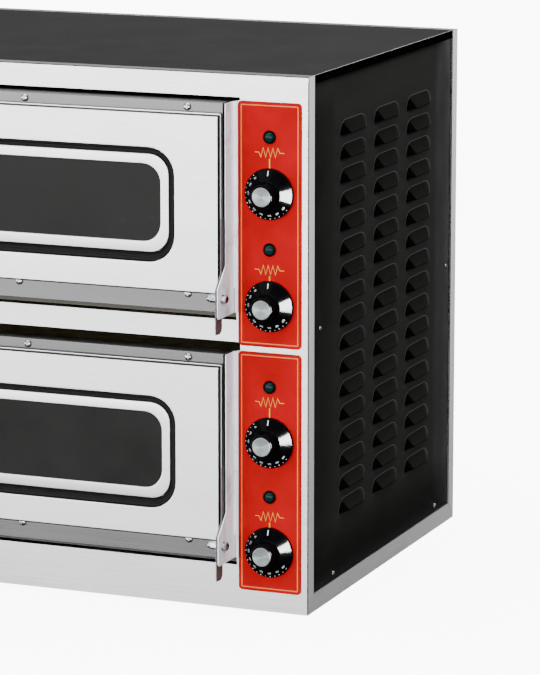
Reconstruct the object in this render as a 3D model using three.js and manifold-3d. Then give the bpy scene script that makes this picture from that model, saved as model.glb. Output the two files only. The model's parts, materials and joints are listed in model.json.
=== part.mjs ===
// Two-deck countertop pizza oven, in millimetres, +Z up, front towards -Y.
// Local frame of every function: X = 0 on the centre plane, Y = 0 on the front
// face of the fascia, Z = 0 on the counter. One group moves it all to the origin.
import * as THREE from 'three';
import { mergeVertices } from 'three/addons/utils/BufferGeometryUtils.js';
import Module from 'manifold-3d';

const wasm = await Module();
wasm.setup();

// ---- Driving dimensions -------------------------------------------------
const WIDTH = 900;               // over the steel side frames
const DEPTH = 610;               // fascia to rear panel
const HEIGHT = 750;
const SHEET = 1.2;               // body sheet thickness
const GAP = 0.4;                 // air between pieces that meet
const STRIP = 22;                // visible width of the upright side frame strips
const BASE_STRIP = 26;           // height of the strip along the foot of each side
const LIP = 3;                   // inward fold that edges each strip
const TOP_FLANGE = 20;           // depth of the fold at the top of fascia and rear
const DECK_PITCH = 346.5;
const DECKS = ['lower', 'upper'];

const OPENING_HALF = 344;        // fascia opening, half its width
const OPENING_BOTTOM = 63;       // above the deck datum
const OPENING_TOP = { lower: 379, upper: 718 };   // above the counter
const EAR = 5.5;                 // the opening widens above the cheek plates

const FRAME_HALF = 335.5;        // mouth frame
const FRAME_FRONT = -28;
const FRAME_BACK = 4.4;
const FRAME_BOTTOM = 78;
const FRAME_TOP = 366.5;
const MOUTH_HALF = 305;
const MOUTH_BOTTOM = 148;
const MOUTH_TOP = 302;

const CHEEK_OUTER = 341;         // outer face of each hinge cheek
const CHEEK_SHEET = 1.5;
const CHEEK_FRONT = -30;
const CHEEK_BOTTOM = 73.5;
const CHEEK_TOP = 366;
const CHEEK_FLANGE = 5.6;
const LUG_FRONT = -59;           // the lug carries the hinge bolt

const HINGE_Y = -45;
const HINGE_Z = 100;             // above the deck datum
const BOLT_RADIUS = 3;
const BOLT_HOLE = 3.35;
const BOLT_CLEARANCE = 0.4;      // bolt to the fixed cheek

const ARM_OUTER = 338;           // outer face of the lever plate on each door end
const ARM_SHEET = 1.5;
const FINGER_TIP = 52;
const FINGER_BACK = -37;

const DOOR_HALF = 336;
const SKIN_INSET = 1.6;          // the front skin ends inside the edge of the pan
const DOOR_FRONT = -40;
const DOOR_BOTTOM = 104.5;
const DOOR_TOP = 352.5;
const DOOR_FOLD = 3.6;           // depth of the folded edge of the front skin
const DOOR_BACK = -30.4;
const WINDOW_HALF = 268.5;       // cut-out of the front skin
const WINDOW_BOTTOM = 144;
const WINDOW_TOP = 301.5;
const WINDOW_RADIUS = 38;
const RING_HALF = 260;           // embossed ring of the pan, inside the seal
const RING_BOTTOM = 157;
const RING_TOP = 293;
const RING_RADIUS = 28;
const GLASS_HALF = 248;          // visible glass
const GLASS_BOTTOM = 172;
const GLASS_TOP = 279;
const GLASS_RADIUS = 26;
const HANDLE_X = -303;
const HANDLE_Z = 318;
const HANDLE_REACH = 112;        // in front of the fascia

const PANEL_LEFT = 347;          // red control panels
const PANEL_RIGHT = 440;
const PANEL_BOTTOM = 28.5;
const PANEL_TOP = 367.4;
const CONTROL_X = 393.5;
const KNOB_HEIGHTS = [86, 241.4];
const LAMP_HEIGHTS = [164.5, 319.5];
const KNOB_RADIUS = 35.5;
const KNOB_DEPTH = 30;
const KNOB_BACK = 2.6;           // back of the knob, in front of the fascia
const GRIP_RADIUS = 17;
const SHAFT_RADIUS = 3;
const LAMP_RADIUS = 9.2;
const LAMP_BODY = 6;
const LAMP_REACH = 30;           // behind the fascia
const PANEL_FACE = -1.5;         // front and back of the sheet stuck on the fascia
const PANEL_BACK = -0.3;
const PANEL_RADIUS = 6;

const CHAMBER_HALF = 310;        // inside of the baking chamber
const CHAMBER_BACK = 520;
const CHAMBER_FLOOR = 100;
const CHAMBER_ROOF = 312;
const CHAMBER_FRONT = 5;
const CHAMBER_WALL = 1.5;
const FLANGE_HALF = 341;         // front flange that the mouth frame sits on
const FLANGE_BOTTOM = 66;
const FLANGE_TOP = 344;
const STONE_TOP = 147;
const STONE_THICKNESS = 20;
const LAGGING = 24;              // insulation thickness
const ELEMENT_RADIUS = 4;
const ELEMENT_RUNS = 6;
const ELEMENT_PITCH = 96;
const ELEMENT_FRONT = 70;
const ELEMENT_BACK = 470;
const ELEMENT_BEND = 24;

const SIDE_FACE = WIDTH / 2 - LIP - 0.3;   // outer face of the side panels
const LOUVRE_COLUMNS = 3;
const LOUVRE_ROWS = 17;
const LOUVRE_LENGTH = 107;
const LOUVRE_HEIGHT = 19.5;
const LOUVRE_DEPTH = 8;
const LOUVRE_FIRST_Y = 125;
const LOUVRE_PITCH_Y = 134.5;
const LOUVRE_TOP = 674.5;
const LOUVRE_PITCH_Z = 33.65;

const INLET_REACH = 18;          // cable gland behind the rear panel
const INLET_X = 330;
const INLET_Z = 90;
const ORIGIN_Y = (HANDLE_REACH - DEPTH - INLET_REACH) / 2;

// ---- Materials -----------------------------------------------------------
const steel = () => paint(0xd2d3d6, 0.34, 0.9);
const blackCoat = () => paint(0x26262a, 0.55, 0.2);
const redCoat = () => paint(0xd22f2a, 0.4, 0);
const bakelite = () => paint(0x0c0c0e, 0.22, 0);
const rubber = () => paint(0x202020, 0.7, 0);
const glass = () => paint(0x3c3c3a, 0.08, 0);
const brightSteel = () => paint(0xb8babf, 0.25, 1);
const stone = () => paint(0xcbb89a, 0.9, 0);
const wool = () => paint(0xd9d2b8, 0.95, 0);
const greyPlastic = () => paint(0xb7b7b0, 0.5, 0);
const greenLens = () => paint(0x0b3a34, 0.15, 0);

function paint(color, roughness, metalness) {
  return new THREE.MeshStandardMaterial({ color, roughness, metalness });
}

// ---- Solids --------------------------------------------------------------
function solidFrom(geometry) {
  const bare = geometry.index ? geometry.toNonIndexed() : geometry.clone();
  bare.deleteAttribute('normal');
  bare.deleteAttribute('uv');
  const merged = mergeVertices(bare, 1e-4);
  const corners = merged.index.array;
  const kept = [];
  for (let i = 0; i < corners.length; i += 3) {
    const [a, b, c] = [corners[i], corners[i + 1], corners[i + 2]];
    if (a !== b && b !== c && c !== a) kept.push(a, b, c);
  }
  return new wasm.Manifold(new wasm.Mesh({
    numProp: 3,
    vertProperties: new Float32Array(merged.attributes.position.array),
    triVerts: new Uint32Array(kept),
  }));
}

function box(x0, x1, y0, y1, z0, z1) {
  const geometry = new THREE.BoxGeometry(x1 - x0, y1 - y0, z1 - z0);
  geometry.translate((x0 + x1) / 2, (y0 + y1) / 2, (z0 + z1) / 2);
  return solidFrom(geometry);
}

// Prisms: the outline is a list of [u, v] points or a THREE.Shape.
function extruded(outline, depth, curveSegments = 4) {
  const shape = outline instanceof THREE.Shape
    ? outline
    : new THREE.Shape(outline.map(([u, v]) => new THREE.Vector2(u, v)));
  return new THREE.ExtrudeGeometry(shape, { depth, bevelEnabled: false, curveSegments });
}

function prismX(outline, x0, x1) {   // outline in (Y, Z)
  const geometry = extruded(outline, x1 - x0);
  const turn = new THREE.Matrix4().makeBasis(
    new THREE.Vector3(0, 1, 0), new THREE.Vector3(0, 0, 1), new THREE.Vector3(1, 0, 0));
  geometry.applyMatrix4(turn).translate(x0, 0, 0);
  return solidFrom(geometry);
}

function prismY(outline, y0, y1) {   // outline in (X, Z)
  const geometry = extruded(outline, y1 - y0);
  geometry.rotateX(Math.PI / 2).translate(0, y1, 0);
  return solidFrom(geometry);
}

function prismZ(outline, z0, z1) {   // outline in (X, Y)
  const geometry = extruded(outline, z1 - z0);
  geometry.translate(0, 0, z0);
  return solidFrom(geometry);
}

function roundedRectangle(u0, u1, v0, v1, radius) {
  const shape = new THREE.Shape();
  shape.absarc(u1 - radius, v0 + radius, radius, -Math.PI / 2, 0);
  shape.absarc(u1 - radius, v1 - radius, radius, 0, Math.PI / 2);
  shape.absarc(u0 + radius, v1 - radius, radius, Math.PI / 2, Math.PI);
  shape.absarc(u0 + radius, v0 + radius, radius, Math.PI, 1.5 * Math.PI);
  return shape;
}

function cylinderX(radius, x0, x1, y, z, sides = 20) {
  const geometry = new THREE.CylinderGeometry(radius, radius, x1 - x0, sides);
  geometry.rotateZ(Math.PI / 2).translate((x0 + x1) / 2, y, z);
  return solidFrom(geometry);
}

function cylinderY(radius, y0, y1, x, z, sides = 24) {
  const geometry = new THREE.CylinderGeometry(radius, radius, y1 - y0, sides);
  geometry.translate(x, (y0 + y1) / 2, z);
  return solidFrom(geometry);
}

// A turned piece about an axis along X or Y. Profile: [radius, distance] pairs.
function turned(profile, axis, x, y, z, sides = 24) {
  const points = profile.map(([r, d]) => new THREE.Vector2(r, d));
  const geometry = new THREE.LatheGeometry(points, sides);
  if (axis === 'x') geometry.rotateZ(-Math.PI / 2);
  geometry.translate(x, y, z);
  return solidFrom(geometry);
}

function union(...solids) {
  return solids.reduce((whole, solid) => whole.add(solid));
}

function cut(solid, ...tools) {
  return tools.reduce((rest, tool) => rest.subtract(tool), solid);
}

function mirroredX(build) {   // the same piece on the right (+1) and on the left (-1)
  return [1, -1].map((side) => build((a, b) => (side > 0 ? [a, b] : [-b, -a]), side));
}

const oven = new THREE.Group();
oven.position.y = ORIGIN_Y;

function add(name, solid, material) {
  const { vertProperties, triVerts } = solid.getMesh();
  const geometry = new THREE.BufferGeometry();
  geometry.setAttribute('position', new THREE.BufferAttribute(new Float32Array(vertProperties), 3));
  geometry.setIndex(new THREE.BufferAttribute(new Uint32Array(triVerts), 1));
  geometry.computeVertexNormals();
  const mesh = new THREE.Mesh(geometry, material);
  mesh.name = name;
  oven.add(mesh);
}

const datum = (deck) => DECKS.indexOf(deck) * DECK_PITCH;

// ---- Casing --------------------------------------------------------------
// Channel section of the front, rear and base sheets: face, side returns and inward lips.
function channelOutline(width, strip) {
  const half = width / 2;
  return [
    [-half, 0], [half, 0], [half, strip], [half - LIP, strip],
    [half - LIP, strip - SHEET], [half - SHEET, strip - SHEET], [half - SHEET, SHEET],
    [-half + SHEET, SHEET], [-half + SHEET, strip - SHEET], [-half + LIP, strip - SHEET],
    [-half + LIP, strip], [-half, strip],
  ];
}

// Wedge that mitres the foot of both side returns, where the base strip meets them.
function mitreWedge(y) {
  const slope = BASE_STRIP / STRIP;
  const [start, over] = [SHEET + 0.1, STRIP + 2];
  return [[y(start), -1], [y(over), -1], [y(over), over * slope + GAP], [y(start), start * slope + GAP]];
}

function endSheet(y) {
  const half = WIDTH / 2;
  const onPlan = (outline) => outline.map(([u, v]) => [u, y(v)]);
  const sheet = prismZ(onPlan(channelOutline(WIDTH, STRIP)), 0, HEIGHT);
  const cap = prismZ(onPlan([
    [-half, 0], [half, 0], [half, STRIP], [half - LIP, STRIP], [half - LIP, TOP_FLANGE],
    [-half + LIP, TOP_FLANGE], [-half + LIP, STRIP], [-half, STRIP],
  ]), HEIGHT - SHEET, HEIGHT);
  const wedge = prismX(mitreWedge(y), -half - 1, half + 1);
  return cut(union(sheet, cap), wedge);
}

const toFront = (v) => v;
const toRear = (v) => DEPTH - v;

function makeFascia() {
  let fascia = endSheet(toFront);
  for (const deck of DECKS) {
    const base = datum(deck);
    const top = OPENING_TOP[deck];
    const ear = base + CHEEK_TOP + 1;
    fascia = cut(fascia,
      box(-OPENING_HALF, OPENING_HALF, -1, SHEET + 1, base + OPENING_BOTTOM, top),
      box(-OPENING_HALF - EAR, OPENING_HALF + EAR, -1, SHEET + 1, ear, top));
    for (const height of KNOB_HEIGHTS) {
      fascia = cut(fascia, cylinderY(6, -1, SHEET + 1, CONTROL_X, base + height, 10));
    }
    for (const height of LAMP_HEIGHTS) {
      fascia = cut(fascia, cylinderY(7, -1, SHEET + 1, CONTROL_X, base + height, 10));
    }
  }
  add('fascia', fascia, steel());
}

function makeRearPanel() {
  const hole = cylinderY(10.4, DEPTH - SHEET - 1, DEPTH + 1, INLET_X, INLET_Z, 20);
  add('rear_panel', cut(endSheet(toRear), hole), steel());
}

function makeBasePan() {
  const clear = SHEET + GAP;
  const over = STRIP + 4;
  const rise = over * BASE_STRIP / STRIP;
  const tray = prismY(channelOutline(WIDTH, BASE_STRIP), clear, DEPTH - clear);
  const mitre = (y) => prismX([[y(0), 0], [y(over), rise], [y(0), rise]], -WIDTH / 2 - 1, WIDTH / 2 + 1);
  add('base_pan', cut(tray, mitre(toFront), mitre(toRear)), steel());
}

function makeTopCover() {
  const half = SIDE_FACE - 0.3;
  const front = TOP_FLANGE + 0.6;
  const edge = half + 2 * SHEET;
  const inner = STRIP + GAP;
  const sheet = box(-half, half, front, DEPTH - front, HEIGHT - SHEET, HEIGHT);
  const folds = mirroredX((span) => union(
    box(...span(half - 1, edge), inner, DEPTH - inner, HEIGHT - SHEET, HEIGHT),
    box(...span(edge - SHEET, edge), inner, DEPTH - inner, HEIGHT - 12, HEIGHT)));
  add('top_cover', union(sheet, ...folds), blackCoat());
}

function makeSidePanels() {
  const first = LOUVRE_TOP - LOUVRE_HEIGHT;
  mirroredX((span, side) => {
    const sheet = box(...span(SIDE_FACE - SHEET, SIDE_FACE), 8, DEPTH - 8, 8, HEIGHT - SHEET - GAP);
    const hoods = [];
    for (let column = 0; column < LOUVRE_COLUMNS; column += 1) {
      const y = LOUVRE_FIRST_Y + column * LOUVRE_PITCH_Y;
      for (let row = 0; row < LOUVRE_ROWS; row += 1) {
        const z = first - row * LOUVRE_PITCH_Z;
        const foot = side * (SIDE_FACE - 0.5);
        const wedge = [[foot, z], [side * (SIDE_FACE + LOUVRE_DEPTH), z],
          [side * (SIDE_FACE + LOUVRE_DEPTH), z + 3], [foot, z + LOUVRE_HEIGHT]];
        hoods.push(prismY(side > 0 ? wedge : wedge.reverse(), y, y + LOUVRE_LENGTH));
      }
    }
    add(side > 0 ? 'side_panel_right' : 'side_panel_left', union(sheet, ...hoods), blackCoat());
  });
}

// ---- Controls ------------------------------------------------------------
function makeControls(deck) {
  const base = datum(deck);
  const outline = roundedRectangle(PANEL_LEFT, PANEL_RIGHT, base + PANEL_BOTTOM, base + PANEL_TOP,
    PANEL_RADIUS);
  let panel = prismY(outline, PANEL_FACE, PANEL_BACK);
  const drill = (radius, z) => {
    panel = cut(panel, cylinderY(radius, PANEL_FACE - 1, PANEL_BACK + 1, CONTROL_X, z, 10));
  };
  KNOB_HEIGHTS.forEach((height, i) => {
    const z = base + height;
    const number = DECKS.indexOf(deck) * 2 + i + 1;
    drill(SHAFT_RADIUS + 2, z);
    add(`knob_${number}`, knob(z), bakelite());
    add(`thermostat_shaft_${number}`, cylinderY(SHAFT_RADIUS, -12, 30, CONTROL_X, z, 10), brightSteel());
    add(`thermostat_${number}`, thermostat(z), greyPlastic());
  });
  LAMP_HEIGHTS.forEach((height, i) => {
    const z = base + height;
    const number = DECKS.indexOf(deck) * 2 + i + 1;
    drill(LAMP_BODY + 0.8, z);
    add(`pilot_lamp_${number}`, pilotLamp(z), greenLens());
  });
  add(`control_panel_${deck}`, panel, redCoat());
}

// Domed lens with a rim in front of the sheet and a body behind it.
function pilotLamp(z) {
  const profile = [[0, -5.6], [7, -5.2], [LAMP_RADIUS, -3.4], [LAMP_RADIUS, -1.9], [LAMP_BODY, -1.9],
    [LAMP_BODY, LAMP_REACH], [0, LAMP_REACH]];
  return turned(profile, 'y', CONTROL_X, 0, z, 12);
}

// Dished skirt with a raised round grip; the bore takes the thermostat shaft.
function knob(z) {
  const back = KNOB_BACK;
  const tip = back + KNOB_DEPTH;
  const profile = [[0, -tip], [GRIP_RADIUS - 1.5, -tip], [GRIP_RADIUS, -tip + 1.5],
    [GRIP_RADIUS + 1.5, -back - 9], [KNOB_RADIUS - 0.8, -back - 3.2], [KNOB_RADIUS, -back - 2],
    [KNOB_RADIUS, -back], [0, -back]];
  const body = turned(profile, 'y', CONTROL_X, 0, z, 24);
  return cut(body, cylinderY(SHAFT_RADIUS + 0.3, -12.3, 0, CONTROL_X, z, 10));
}

function thermostat(z) {
  const body = box(CONTROL_X - 24, CONTROL_X + 24, 12, 58, z - 22, z + 22);
  return cut(body, cylinderY(SHAFT_RADIUS + 0.4, 11, 31, CONTROL_X, z, 10));
}

// ---- Baking chambers -----------------------------------------------------
function ringOfBoxes(outer, inner, y0, y1) {
  return cut(box(outer[0], outer[1], y0, y1, outer[2], outer[3]),
    box(inner[0], inner[1], y0 - 1, y1 + 1, inner[2], inner[3]));
}

function makeMouthFrame(deck) {
  const base = datum(deck);
  const outer = [-FRAME_HALF, FRAME_HALF, base + FRAME_BOTTOM, base + FRAME_TOP];
  const mouth = [-MOUTH_HALF, MOUTH_HALF, base + MOUTH_BOTTOM, base + MOUTH_TOP];
  const grown = (rectangle, by) => [rectangle[0] - by, rectangle[1] + by, rectangle[2] - by,
    rectangle[3] + by];
  const face = ringOfBoxes(outer, mouth, FRAME_FRONT, FRAME_FRONT + SHEET);
  const rim = ringOfBoxes(outer, grown(outer, -SHEET), FRAME_FRONT, FRAME_BACK);
  const throat = ringOfBoxes(grown(mouth, SHEET), mouth, FRAME_FRONT, FRAME_BACK);
  add(`mouth_frame_${deck}`, union(face, rim, throat), steel());
}

function makeChamber(deck) {
  const base = datum(deck);
  const y0 = CHAMBER_FRONT;
  const wall = CHAMBER_WALL;
  const inside = [-CHAMBER_HALF, CHAMBER_HALF, base + CHAMBER_FLOOR, base + CHAMBER_ROOF];
  const shell = cut(
    box(inside[0] - wall, inside[1] + wall, y0, CHAMBER_BACK + wall, inside[2] - wall, inside[3] + wall),
    box(inside[0], inside[1], y0 - 1, CHAMBER_BACK, inside[2], inside[3]));
  const flange = ringOfBoxes(
    [-FLANGE_HALF, FLANGE_HALF, base + FLANGE_BOTTOM, base + FLANGE_TOP], inside, y0, y0 + wall);
  add(`chamber_${deck}`, union(shell, flange), brightSteel());

  const shellOut = wall + GAP;
  const out = [inside[0] - shellOut, inside[1] + shellOut, inside[2] - shellOut, inside[3] + shellOut];
  const clear = y0 + shellOut;
  const lagging = cut(
    box(out[0] - LAGGING, out[1] + LAGGING, clear, CHAMBER_BACK + 40, out[2] - LAGGING, out[3] + LAGGING),
    box(out[0], out[1], clear - 1, CHAMBER_BACK + shellOut, out[2], out[3]));
  add(`insulation_${deck}`, lagging, wool());

  const stoneTop = base + STONE_TOP;
  add(`hearth_stone_${deck}`, box(-CHAMBER_HALF + 3, CHAMBER_HALF - 3, y0 + 3, CHAMBER_BACK - 3,
    stoneTop - STONE_THICKNESS, stoneTop), stone());
  add(`bottom_element_${deck}`, heatingElement(base + CHAMBER_FLOOR + 12), brightSteel());
  add(`top_element_${deck}`, heatingElement(base + CHAMBER_ROOF - 8), brightSteel());
}

// Sheathed element bent to and fro in one level plane.
function heatingElement(z) {
  const points = [];
  for (let i = 0; i < ELEMENT_RUNS; i += 1) {
    const x = (i - (ELEMENT_RUNS - 1) / 2) * ELEMENT_PITCH;
    const backward = i % 2 === 0;
    const ends = backward ? [ELEMENT_FRONT, ELEMENT_BACK] : [ELEMENT_BACK, ELEMENT_FRONT];
    const inset = backward ? ELEMENT_BEND : -ELEMENT_BEND;
    points.push(new THREE.Vector3(x, ends[0] + inset, z), new THREE.Vector3(x, ends[1] - inset, z));
  }
  const path = new THREE.CatmullRomCurve3(points, false, 'catmullrom', 0.35);
  const section = new THREE.Shape();
  section.absarc(0, 0, ELEMENT_RADIUS, 0, 2 * Math.PI);
  const geometry = new THREE.ExtrudeGeometry(section, { steps: 36, curveSegments: 3, bevelEnabled: false,
    extrudePath: path });
  return solidFrom(geometry);
}

// ---- Hinges --------------------------------------------------------------
function makeCheeks(deck) {
  const base = datum(deck);
  const lug = HINGE_Z + 15;
  const outline = [[2.5, CHEEK_BOTTOM], [2.5, CHEEK_TOP], [CHEEK_FRONT, CHEEK_TOP],
    [CHEEK_FRONT, HINGE_Z + 44], [LUG_FRONT, lug], [LUG_FRONT, CHEEK_BOTTOM + 3],
    [LUG_FRONT + 3, CHEEK_BOTTOM]].map(([y, z]) => [y, z + base]);
  mirroredX((span, side) => {
    const plate = prismX(outline.slice().reverse(), ...span(CHEEK_OUTER - CHEEK_SHEET, CHEEK_OUTER));
    const flange = box(...span(CHEEK_OUTER - 0.5, CHEEK_OUTER + CHEEK_FLANGE), PANEL_FACE, PANEL_BACK,
      base + CHEEK_BOTTOM, base + CHEEK_TOP);
    const slit = box(...span(CHEEK_OUTER + 0.2, CHEEK_OUTER + 1.4), -2, 0,
      base + CHEEK_BOTTOM - 1, base + CHEEK_BOTTOM + 34);
    const [x0, x1] = span(CHEEK_OUTER - 5, CHEEK_OUTER + 5);
    const hole = cylinderX(BOLT_RADIUS + BOLT_CLEARANCE, x0, x1, HINGE_Y, base + HINGE_Z, 12);
    const name = side > 0 ? 'right' : 'left';
    add(`hinge_cheek_${deck}_${name}`, cut(union(plate, flange), slit, hole), steel());
  });
}

// Shoulder bolt with a round head outboard and a domed cap nut inboard.
function makeHingeBolts(deck) {
  const head = CHEEK_OUTER + GAP;
  const nut = ARM_OUTER - ARM_SHEET - GAP;
  const profile = [[0, 318], [3.2, 318.8], [5, 321.5], [5.2, 325], [5.2, 332], [5.9, 332.4],
    [5.9, nut], [BOLT_RADIUS, nut], [BOLT_RADIUS, head], [6.4, head], [6.4, head + 1.4],
    [5.2, head + 1.4], [5.2, head + 7], [3.8, head + 8], [0, head + 8]];
  mirroredX((span, side) => {
    const ends = side > 0 ? profile : profile.map(([r, d]) => [r, -d]).reverse();
    const bolt = turned(ends, 'x', 0, HINGE_Y, datum(deck) + HINGE_Z, 12);
    add(`hinge_bolt_${deck}_${side > 0 ? 'right' : 'left'}`, bolt, brightSteel());
  });
}

// Lever plate on each door end: it carries the pivot hole and the stop finger.
function leverOutline(base) {
  const outline = new THREE.Shape();
  const points = [[DOOR_FRONT + 0.4, 210], [DOOR_FRONT + 0.4, HINGE_Z + 35], [LUG_FRONT, HINGE_Z + 14],
    [LUG_FRONT, FINGER_TIP]];
  points.forEach(([y, z], i) => (i ? outline.lineTo(y, z + base) : outline.moveTo(y, z + base)));
  outline.lineTo(FINGER_BACK - 9, FINGER_TIP + base - 1);
  outline.quadraticCurveTo(FINGER_BACK, FINGER_TIP + base, FINGER_BACK, FINGER_TIP + base + 9);
  outline.lineTo(FINGER_BACK, base + HINGE_Z - 12);
  outline.lineTo(DOOR_BACK - 0.4, base + HINGE_Z + 6);
  outline.lineTo(DOOR_BACK - 0.4, base + 210);
  return outline;
}

// ---- Doors ---------------------------------------------------------------
function makeDoor(deck) {
  const base = datum(deck);
  const [bottom, top] = [base + DOOR_BOTTOM, base + DOOR_TOP];
  const half = DOOR_HALF;
  const bend = SHEET;
  const windowCut = prismY(roundedRectangle(-WINDOW_HALF, WINDOW_HALF, base + WINDOW_BOTTOM,
    base + WINDOW_TOP, WINDOW_RADIUS), DOOR_FRONT - 1, DOOR_BACK + 1);
  const [skinHalf, skinTop] = [half - SKIN_INSET, top - SKIN_INSET];
  const skin = cut(
    box(-skinHalf, skinHalf, DOOR_FRONT, DOOR_FRONT + DOOR_FOLD, bottom, skinTop),
    box(-skinHalf + bend, skinHalf - bend, DOOR_FRONT + bend, 0, bottom + bend, skinTop - bend),
    windowCut,
    cylinderY(5.4, DOOR_FRONT - 1, DOOR_BACK, HANDLE_X, base + HANDLE_Z, 16));
  add(`door_skin_${deck}`, skin, steel());

  // The inner pan closes the back; its embossed face fills the window cut-out.
  const boss = prismY(roundedRectangle(-RING_HALF, RING_HALF, base + RING_BOTTOM, base + RING_TOP,
    RING_RADIUS), DOOR_FRONT + 0.6, DOOR_BACK);
  const rim = ringOfBoxes([-half, half, bottom + 2, top],
    [-half + bend, half - bend, bottom + 2 + bend, top - bend], DOOR_FRONT + DOOR_FOLD + 1.4, DOOR_BACK);
  const back = box(-half, half, DOOR_BACK - bend, DOOR_BACK, bottom + 2, top);
  const glassOutline = (grown) => roundedRectangle(-GLASS_HALF - grown, GLASS_HALF + grown,
    base + GLASS_BOTTOM - grown, base + GLASS_TOP + grown, GLASS_RADIUS);
  const sight = prismY(glassOutline(0), DOOR_FRONT - 2, DOOR_BACK + 2);
  const pocket = prismY(glassOutline(7), DOOR_FRONT + 1.8, DOOR_BACK + 1);
  add(`door_pan_${deck}`, cut(union(boss, rim, back), sight, pocket), steel());

  add(`door_glass_${deck}`, prismY(glassOutline(6), DOOR_FRONT + 2.2, DOOR_FRONT + 6.2), glass());

  const sealOuter = prismY(roundedRectangle(-WINDOW_HALF + GAP, WINDOW_HALF - GAP,
    base + WINDOW_BOTTOM + GAP, base + WINDOW_TOP - GAP, WINDOW_RADIUS - GAP),
  DOOR_FRONT + 0.2, DOOR_BACK - bend - GAP);
  const sealInner = prismY(roundedRectangle(-RING_HALF - GAP, RING_HALF + GAP,
    base + RING_BOTTOM - GAP, base + RING_TOP + GAP, RING_RADIUS + GAP), DOOR_FRONT - 1, DOOR_BACK + 1);
  add(`window_seal_${deck}`, cut(sealOuter, sealInner), rubber());

  mirroredX((span, side) => {
    const [x0, x1] = span(ARM_OUTER - ARM_SHEET, ARM_OUTER);
    const hole = cylinderX(BOLT_HOLE, x0 - 1, x1 + 1, HINGE_Y, base + HINGE_Z, 12);
    const name = side > 0 ? 'right' : 'left';
    add(`door_lever_${deck}_${name}`, cut(prismX(leverOutline(base), x0, x1), hole), steel());
  });

  const reach = HANDLE_REACH;
  const grip = turned([[0, -reach], [9, -reach + 1], [14, -reach + 6], [15, -reach + 14],
    [10, -62], [8, -58], [5, -58], [5, DOOR_FRONT + bend + 1], [0, DOOR_FRONT + bend + 1]],
  'y', HANDLE_X, 0, base + HANDLE_Z, 16);
  add(`door_handle_${deck}`, grip, bakelite());
}

// ---- Mains connection ----------------------------------------------------
function makeMains() {
  const gland = turned([[0, DEPTH - 14], [10, DEPTH - 14], [10, DEPTH + 0.4], [14, DEPTH + 0.4],
    [14, DEPTH + 7], [11, DEPTH + 8], [9, DEPTH + INLET_REACH], [0, DEPTH + INLET_REACH]],
  'y', INLET_X, 0, INLET_Z, 14);
  const bore = cylinderY(5, DEPTH - 20, DEPTH + INLET_REACH + 1, INLET_X, INLET_Z, 10);
  add('cable_gland', cut(gland, bore), rubber());
  add('terminal_block', box(380, 430, 500, 540, 40, 110), greyPlastic());
}

makeFascia();
makeRearPanel();
makeBasePan();
makeTopCover();
makeSidePanels();
for (const deck of DECKS) {
  makeControls(deck);
  makeMouthFrame(deck);
  makeChamber(deck);
  makeCheeks(deck);
  makeHingeBolts(deck);
  makeDoor(deck);
}
makeMains();

export default oven;
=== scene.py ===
# Looks of the two-deck countertop pizza oven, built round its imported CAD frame.
# Metres, +Z up, doors towards -Y, controls on the +X side. Every place comes from the frame.
import json
from math import cos, pi, radians, sin

import bmesh
import bpy
from mathutils import Matrix, Vector


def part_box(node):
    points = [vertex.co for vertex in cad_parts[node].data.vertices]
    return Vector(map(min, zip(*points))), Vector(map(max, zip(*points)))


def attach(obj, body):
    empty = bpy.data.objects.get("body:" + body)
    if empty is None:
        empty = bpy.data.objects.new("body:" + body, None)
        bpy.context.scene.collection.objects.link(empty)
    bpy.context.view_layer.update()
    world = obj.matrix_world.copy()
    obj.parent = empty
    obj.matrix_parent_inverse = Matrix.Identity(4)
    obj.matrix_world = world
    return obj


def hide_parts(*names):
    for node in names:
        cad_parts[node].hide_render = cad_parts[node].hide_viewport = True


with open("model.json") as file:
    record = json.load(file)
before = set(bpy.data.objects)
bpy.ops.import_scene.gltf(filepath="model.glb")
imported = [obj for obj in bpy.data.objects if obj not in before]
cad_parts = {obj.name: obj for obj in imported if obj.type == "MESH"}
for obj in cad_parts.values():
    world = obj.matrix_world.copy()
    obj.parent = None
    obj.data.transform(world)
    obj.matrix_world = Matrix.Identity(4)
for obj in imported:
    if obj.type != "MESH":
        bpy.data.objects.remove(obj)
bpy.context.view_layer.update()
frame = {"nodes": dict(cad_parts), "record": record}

MM = 0.001
SHEET = 1.2 * MM
DECKS = ("lower", "upper")
SIDES = (("right", 1), ("left", -1))
BODY_OF = {node: body for body, nodes in frame["record"]["behaviour"]["bodies"].items() for node in nodes}
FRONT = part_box("fascia")[0].y          # front face of the fascia
PANEL_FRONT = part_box("control_panel_lower")[0].y


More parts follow.
